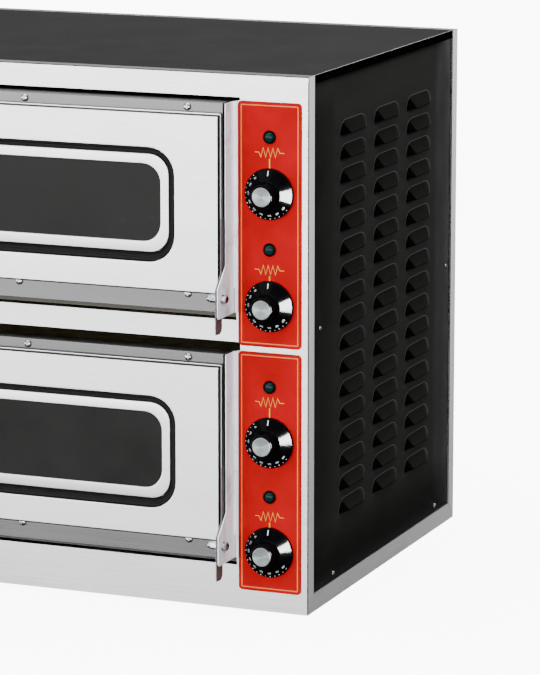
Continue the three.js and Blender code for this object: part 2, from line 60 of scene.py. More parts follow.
# ---- Node materials ------------------------------------------------------------------
class Shader:
    """A Principled material and the few nodes that its patterns are made of."""

    def __init__(self, name, metallic=0.0):
        self.material = bpy.data.materials.new(name)
        self.material.use_nodes = True
        self.tree = self.material.node_tree
        self.surface = self.tree.nodes["Principled BSDF"]
        self.set(Metallic=metallic)
        self.place = self.node("ShaderNodeTexCoord").outputs["Object"]
        self.bump = None

    def node(self, kind, **settings):
        made = self.tree.nodes.new(kind)
        for key, value in settings.items():
            setattr(made, key, value)
        return made

    def feed(self, socket, value):
        if isinstance(value, bpy.types.NodeSocket):
            self.tree.links.new(value, socket)
        else:
            socket.default_value = value

    def set(self, **values):
        """Constants on the shader's own sockets, named with underscores for spaces."""
        for key, value in values.items():
            self.surface.inputs[key.replace("_", " ")].default_value = value

    def noise(self, scale, detail=3.0, roughness=0.55):
        """Noise in the object's frame; scale is one number, or one for each axis, in cells a metre."""
        stretch = self.node("ShaderNodeMapping")
        stretch.inputs["Scale"].default_value = scale if isinstance(scale, tuple) else (scale,) * 3
        self.feed(stretch.inputs["Vector"], self.place)
        noise = self.node("ShaderNodeTexNoise")
        noise.inputs["Scale"].default_value = 1.0
        noise.inputs["Detail"].default_value = detail
        noise.inputs["Roughness"].default_value = roughness
        self.feed(noise.inputs["Vector"], stretch.outputs["Vector"])
        return noise.outputs["Fac"]

    def rings(self, scale, distortion=0.0):
        """Rings about the object's own Y axis."""
        wave = self.node("ShaderNodeTexWave", wave_type="RINGS", rings_direction="Y")
        wave.inputs["Scale"].default_value = scale
        wave.inputs["Distortion"].default_value = distortion
        self.feed(wave.inputs["Vector"], self.place)
        return wave.outputs["Fac"]

    def level(self, value, low, high, to_low=0.0, to_high=1.0):
        """Maps low..high of a value to to_low..to_high, held at both ends."""
        spread = self.node("ShaderNodeMapRange")
        for socket, number in zip(spread.inputs[1:5], (low, high, to_low, to_high)):
            socket.default_value = number
        self.feed(spread.inputs[0], value)
        return spread.outputs["Result"]

    def add(self, first, second):
        total = self.node("ShaderNodeMath", operation="ADD")
        self.feed(total.inputs[0], first)
        self.feed(total.inputs[1], second)
        return total.outputs[0]

    def mix(self, factor, first, second):
        """Colour first where factor is 0 and second where it is 1."""
        blend = self.node("ShaderNodeMix", data_type="RGBA")
        self.feed(blend.inputs[0], factor)
        for socket, colour in ((blend.inputs[6], first), (blend.inputs[7], second)):
            self.feed(socket, colour if isinstance(colour, bpy.types.NodeSocket) else (*colour, 1.0))
        return blend.outputs[2]

    def edge(self, radius, strength):
        """Up to strength along sharp edges, where handling wears the finish, and 0 on open faces."""
        worn = self.node("ShaderNodeBevel", samples=4)
        worn.inputs["Radius"].default_value = radius
        bend = self.node("ShaderNodeVectorMath", operation="DOT_PRODUCT")
        self.feed(bend.inputs[0], worn.outputs["Normal"])
        self.feed(bend.inputs[1], self.node("ShaderNodeNewGeometry").outputs["Normal"])
        return self.level(bend.outputs["Value"], 0.995, 0.86, 0.0, strength)

    def relief(self, height, strength, distance):
        bump = self.node("ShaderNodeBump")
        bump.inputs["Strength"].default_value = strength
        bump.inputs["Distance"].default_value = distance
        self.feed(bump.inputs["Height"], height)
        if self.bump:
            self.feed(bump.inputs["Normal"], self.bump)
        self.bump = bump.outputs["Normal"]

    def finish(self, colour, roughness):
        self.feed(self.surface.inputs["Base Color"], colour)
        self.feed(self.surface.inputs["Roughness"], roughness)
        if self.bump:
            self.feed(self.surface.inputs["Normal"], self.bump)
        return self.material


def shaded(colour, share, lift=0.0):
    """The colour made darker or lighter."""
    return tuple(channel * share + lift for channel in colour)


GRAIN = {"x": (6.0, 1100.0, 1100.0), "y": (1100.0, 6.0, 1100.0), "z": (1100.0, 1100.0, 6.0)}


def brushed_steel(name, grain, colour=(0.63, 0.63, 0.65), roughness=0.27, wear=0.5):
    """Stainless sheet with fine brush lines along one axis, faint rolling bands and handling smudges."""
    shader = Shader(name, metallic=1.0)
    lines = shader.noise(GRAIN[grain], detail=4)
    bands = shader.noise(tuple(value / 40 for value in GRAIN[grain]), detail=2)
    smudge = shader.noise(5.0, detail=5)
    tone = shader.add(shader.level(lines, 0.3, 0.7, 0.0, 0.45), shader.level(bands, 0.3, 0.7, 0.0, 0.35))
    tone = shader.add(tone, shader.level(smudge, 0.35, 0.7, 0.0, 0.2))
    brushed = shader.mix(tone, shaded(colour, 0.9), shaded(colour, 1.07))
    body = shader.mix(shader.edge(0.9 * MM, wear), brushed, (0.72, 0.72, 0.73))
    rough = shader.add(shader.level(lines, 0.25, 0.75, roughness - 0.05, roughness + 0.07),
                       shader.level(smudge, 0.4, 0.75, 0.0, 0.06))
    shader.relief(lines, 0.10, 0.10 * MM)
    shader.relief(smudge, 0.05, 1.5 * MM)
    return shader.finish(body, rough)


def patterned(name, pattern, shades, rough, reliefs, metallic=0.0, specular=None, stain=None, wear=None):
    """A finish whose colour and roughness both follow one noise.

    pattern is the noise; shades and rough are its range and what the ends of the range stand for;
    reliefs are rows of noise, strength and distance; stain is another noise, its range, strength and
    colour; wear is the radius, strength and colour of the edges.
    """
    shader = Shader(name, metallic)
    if specular is not None:
        shader.set(Specular_IOR_Level=specular)
    tone = shader.noise(*pattern)
    low, high, first, second = shades
    body = shader.mix(shader.level(tone, low, high), first, second)
    if stain:
        noise, low, high, strength, colour = stain
        body = shader.mix(shader.level(shader.noise(*noise), low, high, 0.0, strength), body, colour)
    if wear:
        radius, strength, colour = wear
        body = shader.mix(shader.edge(radius, strength), body, colour)
    for noise, strength, distance in reliefs:
        shader.relief(shader.noise(*noise), strength, distance)
    return shader.finish(body, shader.level(tone, *rough))


def passivated_steel(name, share=1.0):
    """Zinc-plated hinge plates: pale, faintly violet, scuffed dark in places."""
    draw = ((90.0, 90.0, 9.0), 4)
    dull, bright = shaded((0.60, 0.60, 0.66), share), shaded((0.80, 0.80, 0.86), share)
    return patterned(name, draw, (0.35, 0.65, dull, bright),
                     (0.3, 0.7, 0.38, 0.5), [(draw, 0.1, 0.1 * MM)], metallic=0.25,
                     stain=((30.0, 5), 0.55, 0.72, 0.6, (0.20, 0.19, 0.24)),
                     wear=(0.8 * MM, 0.7, (0.85, 0.85, 0.87)))


def moulded(name, colour, roughness, specular, grain):
    """Moulded plastic, bakelite or rubber with a slight flow texture."""
    return patterned(name, (60.0, 4), (0.35, 0.7, colour, shaded(colour, 1.5, 0.001)),
                     (0.3, 0.75, roughness * 0.85, roughness * 1.3), [((1800.0, 2), grain, 0.06 * MM)],
                     specular=specular, wear=(0.5 * MM, 0.25, shaded(colour, 3, 0.01)))


def printed(name, colour):
    """Screen-printed ink, a little uneven."""
    ink = (700.0, 3)
    return patterned(name, ink, (0.3, 0.65, shaded(colour, 0.82), colour), (0.3, 0.7, 0.42, 0.55),
                     [(ink, 0.05, 0.03 * MM)])


def powder_coat(name, colour, worn_colour, roughness, specular, peel=0.16):
    """Baked paint with a faint orange peel, dust, and thinner paint along its edges."""
    shader = Shader(name)
    shader.set(Specular_IOR_Level=specular)
    dust = shader.level(shader.noise(14.0, detail=6), 0.35, 0.75)
    body = shader.mix(dust, colour, shaded(colour, 1.35, 0.0015))
    body = shader.mix(shader.edge(0.8 * MM, 0.55), body, worn_colour)
    speck = shader.level(shader.noise(2600.0, detail=1), 0.5, 0.8, 0.0, 0.05)
    rough = shader.add(shader.level(dust, 0.0, 1.0, roughness - 0.04, roughness + 0.06), speck)
    shader.relief(shader.noise(900.0, detail=2), peel, 0.12 * MM)
    return shader.finish(body, rough)


def spun_aluminium(name):
    """Disc in the knob, turned in fine rings about its own middle."""
    shader = Shader(name, metallic=1.0)
    rings = shader.rings(520.0, 0.4)
    tangent = shader.node("ShaderNodeTangent", direction_type="RADIAL", axis="Y")
    shader.feed(shader.surface.inputs["Tangent"], tangent.outputs["Tangent"])
    shader.set(Anisotropic=0.8, Anisotropic_Rotation=0.25)
    shader.relief(rings, 0.12, 0.05 * MM)
    patches = shader.level(shader.noise(900.0, detail=2), 0.35, 0.7)
    body = shader.mix(patches, (0.12, 0.135, 0.135), (0.19, 0.21, 0.21))
    return shader.finish(body, shader.level(rings, 0.0, 1.0, 0.26, 0.36))


def lamp_lens(name):
    """Deep green lens of the pilot lamp, unlit."""
    shader = Shader(name)
    shader.set(Specular_IOR_Level=0.12)
    depth = shader.noise(420.0, detail=2)
    body = shader.mix(shader.level(depth, 0.35, 0.65), (0.001, 0.016, 0.015), (0.002, 0.032, 0.029))
    shader.relief(shader.rings(160.0), 0.15, 0.2 * MM)
    return shader.finish(body, shader.level(depth, 0.3, 0.7, 0.08, 0.18))


def wool(name):
    """Mineral wool blanket."""
    shader = Shader(name)
    fibres = shader.noise((300.0, 1500.0, 500.0), detail=6, roughness=0.75)
    clumps = shader.noise(35.0, detail=4)
    body = shader.mix(shader.level(clumps, 0.3, 0.7), (0.50, 0.44, 0.28), (0.72, 0.66, 0.47))
    shader.relief(fibres, 0.8, 1.2 * MM)
    return shader.finish(body, shader.level(fibres, 0.3, 0.7, 0.88, 1.0))


STEEL_X = brushed_steel("steel_brushed_across", "x")
STEEL_Y = brushed_steel("steel_brushed_deep", "y", (0.80, 0.80, 0.82))
# Paler copy of the front's steel for the side returns: painted light.
STEEL_Z_PAINTED_LIGHT = brushed_steel("steel_brushed_upright_painted_light", "z", (0.90, 0.90, 0.92))
# Mouth frame steel far darker than the fascia's: painted shade round the door opening.
MOUTH_SHADE_STEEL = brushed_steel("mouth_frame_steel_painted_shade", "x", (0.125, 0.125, 0.128), 0.26)
# Near-black steel: painted shade on the mouth frame's top faces, and the darker tint of the chamber's front.
SHADE_AND_HEAT_TINT_STEEL = brushed_steel("heat_tint_and_painted_shade_steel", "x", (0.05, 0.048, 0.042), 0.4)
# Near-black copy of the brushed steel for bends and returns: painted shade along the sheet edges.
FOLD_SHADE_STEEL = brushed_steel("folded_edge_steel_painted_shade", "x", (0.02, 0.02, 0.021), 0.3, 0.02)
DOOR_STEEL = brushed_steel("door_steel_brushed", "x", (0.66, 0.66, 0.68), 0.28)
CHAMBER_STEEL = brushed_steel("chamber_steel", "y", (0.50, 0.50, 0.49), 0.42)
HINGE_STEEL = passivated_steel("zinc_plated_steel")
# The levers' copy of the zinc-plated steel at a tenth of its brightness: painted shade.
LEVER_SHADE_STEEL = passivated_steel("zinc_plated_lever_steel_painted_shade", 0.10)
FASTENER = patterned("fastener_steel", (160.0, 3), (0.35, 0.7, (0.36, 0.36, 0.37), (0.62, 0.62, 0.63)),
                     (0.3, 0.7, 0.14, 0.3), [((2400.0, 2), 0.08, 0.05 * MM)], metallic=1.0)
SHEATH = patterned("element_sheath", (30.0, 4), (0.35, 0.65, (0.16, 0.13, 0.11), (0.25, 0.24, 0.27)),
                   (0.3, 0.7, 0.38, 0.6), [((1400.0, 3), 0.3, 0.1 * MM)], metallic=1.0)
KNOB_DISC = spun_aluminium("spun_aluminium_disc")
BLACK_COAT = powder_coat("black_powder_coat", (0.0125, 0.0125, 0.0116), (0.05, 0.05, 0.05), 0.48, 0.02)
# Hood bodies in a coat darker than the sheet: painted shade.
HOOD_SHADE_COAT = powder_coat("black_coat_on_hoods_painted_shade", (0.0068, 0.0068, 0.006), (0.03, 0.03, 0.03), 0.42, 0.01)
# Near-black coat without gloss for the hoods' front ends and the top cover's sides: painted shade.
DEEP_SHADE_COAT = powder_coat("black_coat_painted_deep_shade", (0.0012, 0.0012, 0.001), (0.004, 0.004, 0.004),
                            0.6, 0.0)
# Pale coat along the louvre rims: painted highlight.
HOOD_RIM_HIGHLIGHT_COAT = powder_coat("black_coat_on_hood_rims_painted_highlight", (0.045, 0.045, 0.043), (0.09, 0.09, 0.09), 0.4, 0.05)
# Pale grey coat for the top cover's side bends: painted highlight.
BEND_HIGHLIGHT_COAT = powder_coat("black_coat_bend_painted_highlight", (0.26, 0.26, 0.26), (0.6, 0.6, 0.6), 0.4, 0.3)
TOP_COAT = powder_coat("black_satin_top_coat", (0.012, 0.012, 0.0122), (0.06, 0.06, 0.06), 0.5, 0.04)
RED_COAT = powder_coat("red_panel_coat", (0.355, 0.0022, 0.0052), (0.12, 0.004, 0.003), 0.45, 0.01, 0.05)
BAKELITE = moulded("black_bakelite", (0.0012, 0.0013, 0.0017), 0.08, 0.02, 0.02)
RUBBER = moulded("black_rubber", (0.004, 0.004, 0.0038), 0.5, 0.10, 0.2)
GREY_PLASTIC = moulded("grey_plastic", (0.36, 0.36, 0.33), 0.5, 0.5, 0.15)
WHITE_INK = printed("white_dial_ink", (0.55, 0.56, 0.56))
YELLOW_INK = printed("yellow_panel_ink", (0.80, 0.30, 0.0))
ORANGE_INK = printed("orange_panel_ink", (0.80, 0.19, 0.01))
LENS = lamp_lens("green_lamp_lens")
# Tinted glass with a haze of baked-on grease.
GLASS = patterned("dark_window_glass", (9.0, 5), (0.3, 0.75, (0.013, 0.013, 0.0126), (0.018, 0.018, 0.0175)),
                  (0.3, 0.75, 0.12, 0.3), [((260.0, 2), 0.02, 0.05 * MM)], specular=0.055)
# Cordierite: sandy, pitted, browned where dough has lain.
STONE = patterned("hearth_stone", (420.0, 5, 0.7), (0.35, 0.65, (0.42, 0.35, 0.26), (0.60, 0.52, 0.41)),
                  (0.3, 0.7, 0.82, 0.95), [((420.0, 5, 0.7), 0.5, 0.5 * MM), ((1500.0, 2), 0.3, 0.2 * MM)],
                  stain=((6.0, 5), 0.52, 0.78, 0.6, (0.22, 0.14, 0.08)))
WOOL = wool("mineral_wool")


# ---- Mesh helpers --------------------------------------------------------------------
def place(name, mesh_data, materials, body, replaces=(), bevel=0.0, smooth=32.0, origin=None,
          flat=False):
    """Makes the object, rides it on its body and hides the CAD nodes that it stands for."""
    bmesh.ops.recalc_face_normals(mesh_data, faces=mesh_data.faces)
    mesh = bpy.data.meshes.new(name)
    if origin is not None:
        bmesh.ops.translate(mesh_data, verts=mesh_data.verts, vec=-Vector(origin))
    mesh_data.to_mesh(mesh)
    mesh_data.free()
    mesh.shade_smooth()
    mesh.set_sharp_from_angle(angle=radians(smooth))
    for material in materials:
        mesh.materials.append(material)
    piece = bpy.data.objects.new(name, mesh)
    if origin is not None:
        piece.location = origin
    bpy.context.scene.collection.objects.link(piece)
    if bevel:
        rounding = piece.modifiers.new("rounded_edges", "BEVEL")
        rounding.width = bevel
        rounding.segments = 2
        rounding.limit_method = "ANGLE"
        rounding.angle_limit = radians(40)
        rounding.harden_normals = True
    if flat or bevel:
        flattened = piece.modifiers.new("flat_faces", "WEIGHTED_NORMAL")
        flattened.keep_sharp = True
        flattened.weight = 90
    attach(piece, body)
    if replaces:
        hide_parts(*replaces)
    return piece


def refined(node, materials, bevel, pick=None, fold=None, fold_radius=2.4 * MM):
    """The CAD piece again as clean faces with rounded edges. pick(face) chooses its material,
    and fold(edge) is true on the wide bends of the sheet."""
    mesh_data = bmesh.new()
    mesh_data.from_mesh(frame["nodes"][node].data)
    bmesh.ops.remove_doubles(mesh_data, verts=mesh_data.verts, dist=0.01 * MM)
    bmesh.ops.dissolve_limit(mesh_data, angle_limit=radians(0.5), verts=mesh_data.verts,
                             edges=mesh_data.edges)
    if fold:
        bends = [edge for edge in mesh_data.edges if fold(edge)]
        bmesh.ops.bevel(mesh_data, geom=bends, offset=fold_radius, offset_type="OFFSET", segments=5,
                        profile=0.5, affect="EDGES", clamp_overlap=True)
    mesh_data.normal_update()
    for face in mesh_data.faces:
        face.material_index = pick(face) if pick else 0
    return place(node + "_sheet", mesh_data, materials, BODY_OF[node], (node,), bevel)


def rounded_loop(x0, x1, z0, z1, radius, y, steps=7):
    """Points of a rounded rectangle in the plane at y, all loops with the same count."""
    radius = max(radius, 0.05 * MM)
    corners = ((x1 - radius, z0 + radius, -90), (x1 - radius, z1 - radius, 0),
               (x0 + radius, z1 - radius, 90), (x0 + radius, z0 + radius, 180))
    points = []
    for cx, cz, start in corners:
        for k in range(steps + 1):
            angle = radians(start + 90 * k / steps)
            points.append((cx + radius * cos(angle), y, cz + radius * sin(angle)))
    return points


def inset_loops(x0, x1, z0, z1, radius, least=0.0):
    """Gives loop(inset, y), which lies that far inside one rounded rectangle, or outside it if negative."""
    def loop(inset, y):
        return rounded_loop(x0 + inset, x1 - inset, z0 + inset, z1 - inset, max(radius - inset, least), y)
    return loop


def loft(mesh_data, loops, closed=False, cap_first=False, cap_last=False, material=0):
    """Skin over a row of loops with equal counts; closed joins the last loop to the first."""
    rings = [[mesh_data.verts.new(point) for point in loop] for loop in loops]
    pairs = list(zip(rings, rings[1:])) + ([(rings[-1], rings[0])] if closed else [])
    count = len(rings[0])
    for first, second in pairs:
        for i in range(count):
            j = (i + 1) % count
            face = mesh_data.faces.new((first[i], first[j], second[j], second[i]))
            face.material_index = material
    for wanted, ring in ((cap_first, rings[0]), (cap_last, rings[-1])):
        if wanted:
            mesh_data.faces.new(ring).material_index = material


def lathe(mesh_data, profile, centre, axis="y", sides=48, material=0, phase=0.0):
    """Turns (radius, distance) pairs about an axis through centre. Radius 0 closes the end."""
    rings = []
    for radius, along in profile:
        points = []
        for k in range(sides if radius > 0 else 1):
            angle = 2 * pi * k / sides + phase
            a, b = radius * cos(angle), radius * sin(angle)
            offset = (a, along, b) if axis == "y" else (along, a, b)
            points.append(mesh_data.verts.new(Vector(centre) + Vector(offset)))
        rings.append(points)
    for first, second in zip(rings, rings[1:]):
        for k in range(sides):
            n = (k + 1) % sides
            corners = [first[k % len(first)], first[n % len(first)],
                       second[n % len(second)], second[k % len(second)]]
            corners = list(dict.fromkeys(corners))
            if len(corners) > 2:
                mesh_data.faces.new(corners).material_index = material


# ---- Screws --------------------------------------------------------------------------
def screw_template():
    """Pan head with a cross recess, radius 1 and standing on the plane y = 0 towards -Y."""
    mesh_data = bmesh.new()
    dome = [(cos(radians(a)), -0.16 - 0.5 * sin(radians(a))) for a in range(12, 90, 13)]
    lathe(mesh_data, [(0, 0.0), (1.0, 0.0), (1.0, -0.16)] + dome + [(0, -0.66)], (0, 0, 0), sides=28)
    head = bpy.data.meshes.new("screw_head")
    bmesh.ops.recalc_face_normals(mesh_data, faces=mesh_data.faces)
    mesh_data.to_mesh(head)
    mesh_data.free()
    tool = bmesh.new()
    arm, width = 0.56, 0.14
    cross = [(width, width), (width, arm), (-width, arm), (-width, width), (-arm, width), (-arm, -width),
             (-width, -width), (-width, -arm), (width, -arm), (width, -width), (arm, -width), (arm, width)]
    loft(tool, [[(x, y, z) for x, z in cross] for y in (-1.0, -0.38)], cap_first=True, cap_last=True)
    bmesh.ops.recalc_face_normals(tool, faces=tool.faces)
    recess = bpy.data.meshes.new("screw_recess")
    tool.to_mesh(recess)
    tool.free()
    pair = [bpy.data.objects.new(mesh.name, mesh) for mesh in (head, recess)]
    for thing in pair:
        bpy.context.scene.collection.objects.link(thing)
    carve = pair[0].modifiers.new("carve", "BOOLEAN")
    carve.object = pair[1]
    carve.operation = "DIFFERENCE"
    carved = bpy.data.meshes.new_from_object(pair[0].evaluated_get(bpy.context.evaluated_depsgraph_get()))
    for thing in pair:
        bpy.data.objects.remove(thing)
    return carved


SCREW = screw_template()
FACING = {"front": Matrix.Identity(3), "right": Matrix.Rotation(radians(90), 3, "Z"),
          "left": Matrix.Rotation(radians(-90), 3, "Z"), "rear": Matrix.Rotation(radians(180), 3, "Z")}


def screws(name, spots, facing, radius):
    """A group of like screws; each spot is the point under the head's middle."""
    mesh_data = bmesh.new()
    for k, spot in enumerate(spots):
        turn = Matrix.Rotation(radians(31.0 + 47.0 * k), 3, "Y")
        whole = Matrix.Translation(spot) @ (FACING[facing] @ turn).to_4x4() @ Matrix.Scale(radius, 4)
        start = len(mesh_data.verts)
        mesh_data.from_mesh(SCREW)
        mesh_data.verts.ensure_lookup_table()
        bmesh.ops.transform(mesh_data, matrix=whole, verts=mesh_data.verts[start:])
    return place(name, mesh_data, [FASTENER], "body")


# ---- Casing --------------------------------------------------------------------------
def side_strip_or_front(face):
    """Brush lines run across the front and rear, and upright on the side returns, whose paler steel is
    painted light; the narrow bends get near-black steel, painted shade.
    """
    bend = 0.08 < abs(face.normal.y) < 0.995 and face.calc_area() < 2000 * MM * MM
    return 2 if bend else 1 if abs(face.normal.x) > 0.7 else 0


def sideways(face):
    """The turned-down sides get near-black paint, painted shade, and the bend above them a pale grey one, a
    painted highlight.
    """
    return 1 if abs(face.normal.x) > 0.97 else 2 if abs(face.normal.x) > 0.25 else 0


def side_top_edge(edge):
    """True for the two long bends at the sides of the top cover."""
    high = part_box("top_cover")[1]
    return all(abs(vertex.co.z - high.z) < 1e-5 and abs(abs(vertex.co.x) - high.x) < 1e-5
               for vertex in edge.verts)


def outer_fold(node, front):
    """True for the edges where the front or rear sheet turns back along its top and sides."""
    low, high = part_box(node)
    face = low.y if front else high.y

    def test(edge):
        a, b = (vertex.co for vertex in edge.verts)
        on_face = abs(a.y - face) < 1e-5 and abs(b.y - face) < 1e-5
        at_top = abs(a.z - high.z) < 1e-5 and abs(b.z - high.z) < 1e-5
        at_side = abs(abs(a.x) - high.x) < 1e-5 and abs(a.x - b.x) < 1e-5
        return on_face and (at_top or at_side) and (a - b).length > 5 * MM
    return test


def make_casing():
    refined("fascia", [STEEL_X, STEEL_Z_PAINTED_LIGHT, FOLD_SHADE_STEEL], 0.5 * MM, side_strip_or_front,
            outer_fold("fascia", True))
    refined("rear_panel", [STEEL_X, STEEL_Z_PAINTED_LIGHT, FOLD_SHADE_STEEL], 0.5 * MM, side_strip_or_front,
            outer_fold("rear_panel", False))
    refined("base_pan", [STEEL_Y], 0.5 * MM)
    refined("top_cover", [TOP_COAT, DEEP_SHADE_COAT, BEND_HIGHLIGHT_COAT], 0.3 * MM, sideways,
            side_top_edge, 0.7 * MM)


LOUVRE_COLUMNS, LOUVRE_ROWS = 3, 17
LOUVRE_LENGTH, LOUVRE_HEIGHT = 107 * MM, 19.5 * MM
LOUVRE_END = 25 * MM                   # how far each rounded end reaches along the hood
LOUVRE_FIRST = 125 * MM                # behind the fascia
LOUVRE_TOP = 674.5 * MM
LOUVRE_PITCH_Y, LOUVRE_PITCH_Z = 134.5 * MM, 33.65 * MM
LOUVRE_STEPS = 8                       # faces along the straight of a hood
LOUVRE_TURN = 6                        # faces round each end
LOUVRE_LEVELS = (1.0, 0.94, 0.87, 0.75, 0.58, 0.38, 0.18, 0.0)   # from the rim to the open lip

SIDE_SCREWS = ((52 * MM, 396 * MM), (572 * MM, 396 * MM), (532 * MM, 35.5 * MM), (105 * MM, 35.5 * MM))   # behind the fascia, up


def hood_height(level, depth):
    """How far the hood stands out: a small fillet at the rim, then a slope that eases off."""
    rise = 1 - level
    fillet = 0.12
    if rise < fillet:
        return depth * rise * rise / (2 * fillet) * 1.1
    return depth * min(1.0, 1.1 * (rise - fillet / 2) * (1.0 - 0.03 * rise))


def louvred_side(label, side):
    """Pressed side panel: each louvre is a hood joined to the sheet round its rim and open below."""
    node = "side_panel_" + label
    low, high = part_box(node)
    depth = (high.x - low.x) - SHEET
    face_x = high.x - depth if side > 0 else low.x + depth
    mesh_data = bmesh.new()
    spots = {}

    def vertex(y, z, out=0.0, own=None):
        key = (round(y * 1e5), round(z * 1e5), round(out * 1e6), own)
        if key not in spots:
            spots[key] = mesh_data.verts.new((face_x + side * out, y, z))
        return spots[key]

    def quad(*corners, tone=0):
        corners = list(dict.fromkeys(corners))
        if len(corners) > 2:
            mesh_data.faces.new(corners).material_index = tone

    first_y = FRONT + LOUVRE_FIRST
    margin = (LOUVRE_PITCH_Y - LOUVRE_LENGTH) / 2
    below = (LOUVRE_PITCH_Z - LOUVRE_HEIGHT) / 2
    columns = [first_y + LOUVRE_PITCH_Y * column for column in range(LOUVRE_COLUMNS)]
    rows = [LOUVRE_TOP - LOUVRE_HEIGHT - LOUVRE_PITCH_Z * row for row in range(LOUVRE_ROWS)]

    def ring(y, z, level):
        """One level of a hood, from the front end of the lip round to its rear end."""
        front, rear = y + LOUVRE_END, y + LOUVRE_LENGTH - LOUVRE_END
        quarter = [radians(90 * k / LOUVRE_TURN) for k in range(LOUVRE_TURN + 1)]
        points = [(front - LOUVRE_END * level * cos(a), z + LOUVRE_HEIGHT * level * sin(a)) for a in quarter]
        points += [(front + (rear - front) * k / LOUVRE_STEPS, z + LOUVRE_HEIGHT * level)
                   for k in range(1, LOUVRE_STEPS)]
        points += [(rear + LOUVRE_END * level * cos(a), z + LOUVRE_HEIGHT * level * sin(a))
                   for a in reversed(quarter)]
        return points

    for y in columns:
        for z in rows:
            left, right = y - margin, y + LOUVRE_LENGTH + margin
            foot, head = z - below, z + LOUVRE_HEIGHT + below
            outer = [(left, foot + (head - foot) * k / LOUVRE_TURN) for k in range(LOUVRE_TURN + 1)]
            outer += [(left + (right - left) * k / LOUVRE_STEPS, head) for k in range(1, LOUVRE_STEPS)]
            outer += [(right, head - (head - foot) * k / LOUVRE_TURN) for k in range(LOUVRE_TURN + 1)]
            rim = ring(y, z, 1.0)
            for k in range(len(rim) - 1):
                quad(vertex(*outer[k]), vertex(*outer[k + 1]), vertex(*rim[k + 1]), vertex(*rim[k]))
            slit = [(y + LOUVRE_LENGTH * k / LOUVRE_STEPS, z) for k in range(LOUVRE_STEPS + 1)]
            base = [(left + (right - left) * k / LOUVRE_STEPS, foot) for k in range(LOUVRE_STEPS + 1)]
            for k in range(LOUVRE_STEPS):
                quad(vertex(*base[k]), vertex(*base[k + 1]), vertex(*slit[k + 1]), vertex(*slit[k]))
            levels = []
            for level in LOUVRE_LEVELS:
                out = hood_height(level, depth)
                own = None if level == 1.0 else (y, z)
                levels.append([vertex(*point, out, own) for point in ring(y, z, level)])
            for step, (upper, lower) in enumerate(zip(levels, levels[1:])):
                for k in range(len(upper) - 1):
                    # Rim faces get the pale rim coat, a painted highlight; the front ends of each hood the
                    # near-black coat, painted shade; the rest of the hood a coat darker than the sheet,
                    # painted shade.
                    tone = 3 if step == 0 else 2 if k < LOUVRE_TURN - 2 else 1
                    quad(upper[k], upper[k + 1], lower[k + 1], lower[k], tone=tone)

    # Plain sheet round the field of louvres, sharing its edge points.
    left, right = columns[0] - margin, columns[-1] + LOUVRE_LENGTH + margin
    foot, head = rows[-1] - below, rows[0] + LOUVRE_HEIGHT + below
    ys = sorted({key[0] for key in spots if key[1] == round(foot * 1e5) and key[2] == 0})
    zs = sorted({key[1] for key in spots if key[0] == round(left * 1e5) and key[2] == 0})
    ys, zs = [value / 1e5 for value in ys], [value / 1e5 for value in zs]
    for a, b in zip(ys, ys[1:]):
        quad(vertex(a, low.z), vertex(b, low.z), vertex(b, foot), vertex(a, foot))
        quad(vertex(a, head), vertex(b, head), vertex(b, high.z), vertex(a, high.z))
    for a, b in zip(zs, zs[1:]):
        quad(vertex(low.y, a), vertex(left, a), vertex(left, b), vertex(low.y, b))
        quad(vertex(right, a), vertex(high.y, a), vertex(high.y, b), vertex(right, b))
    for y0, y1 in ((low.y, left), (right, high.y)):
        for z0, z1 in ((low.z, foot), (head, high.z)):
            quad(vertex(y0, z0), vertex(y1, z0), vertex(y1, z1), vertex(y0, z1))
    bmesh.ops.remove_doubles(mesh_data, verts=[v for v in mesh_data.verts if abs(v.co.x - face_x) < 1e-7],
                             dist=0.01 * MM)
    coats = [BLACK_COAT, HOOD_SHADE_COAT, DEEP_SHADE_COAT, HOOD_RIM_HIGHLIGHT_COAT]
    panel = place(node + "_pressed", mesh_data, coats, "body", (node,), smooth=50, flat=True)
    thicken = panel.modifiers.new("sheet_thickness", "SOLIDIFY")
    thicken.thickness = 0.8 * MM
    outward = sum(face.normal.x * face.area for face in panel.data.polygons)
    thicken.offset = -1.0 if outward * side > 0 else 1.0
    spots = [(face_x, FRONT + y, z) for y, z in SIDE_SCREWS]
    screws("side_screws_" + label, spots, label, 3.2 * MM)


# ---- Controls ------------------------------------------------------------------------
KNOB_CENTRES = [(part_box(f"knob_{n}")[0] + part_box(f"knob_{n}")[1]) / 2 for n in range(1, 5)]
SKIRT_FOOT, SKIRT_NECK = 34.4 * MM, 19.0 * MM        # radii where the cone starts and ends
SKIRT_RISE = 5.5 * MM
SKIRT_SLOPE = SKIRT_RISE / (SKIRT_FOOT - SKIRT_NECK)
EDGE_DEPTH = 3.2 * MM                                # thickness of the skirt's edge
INK = 0.10 * MM                                      # how far the print stands off the skirt
DOT_RING, NUMBER_RING = 33.3 * MM, 28.6 * MM         # radii of the printed marks
GRIP = 17.0 * MM
DISC = 13.4 * MM
FIRST_MARK, MARK_STEP = 127.0, 24.1                  # degrees clockwise from the pointer line
DIAL = range(450, 0, -50)


def skirt_point(knob_back, radius, angle, lift):
    """A point over the conical skirt: radius from the axis, angle clockwise from the top."""
    depth = EDGE_DEPTH + (SKIRT_FOOT - radius) * SKIRT_SLOPE + lift
    return Vector((radius * sin(angle), knob_back - depth, radius * cos(angle)))


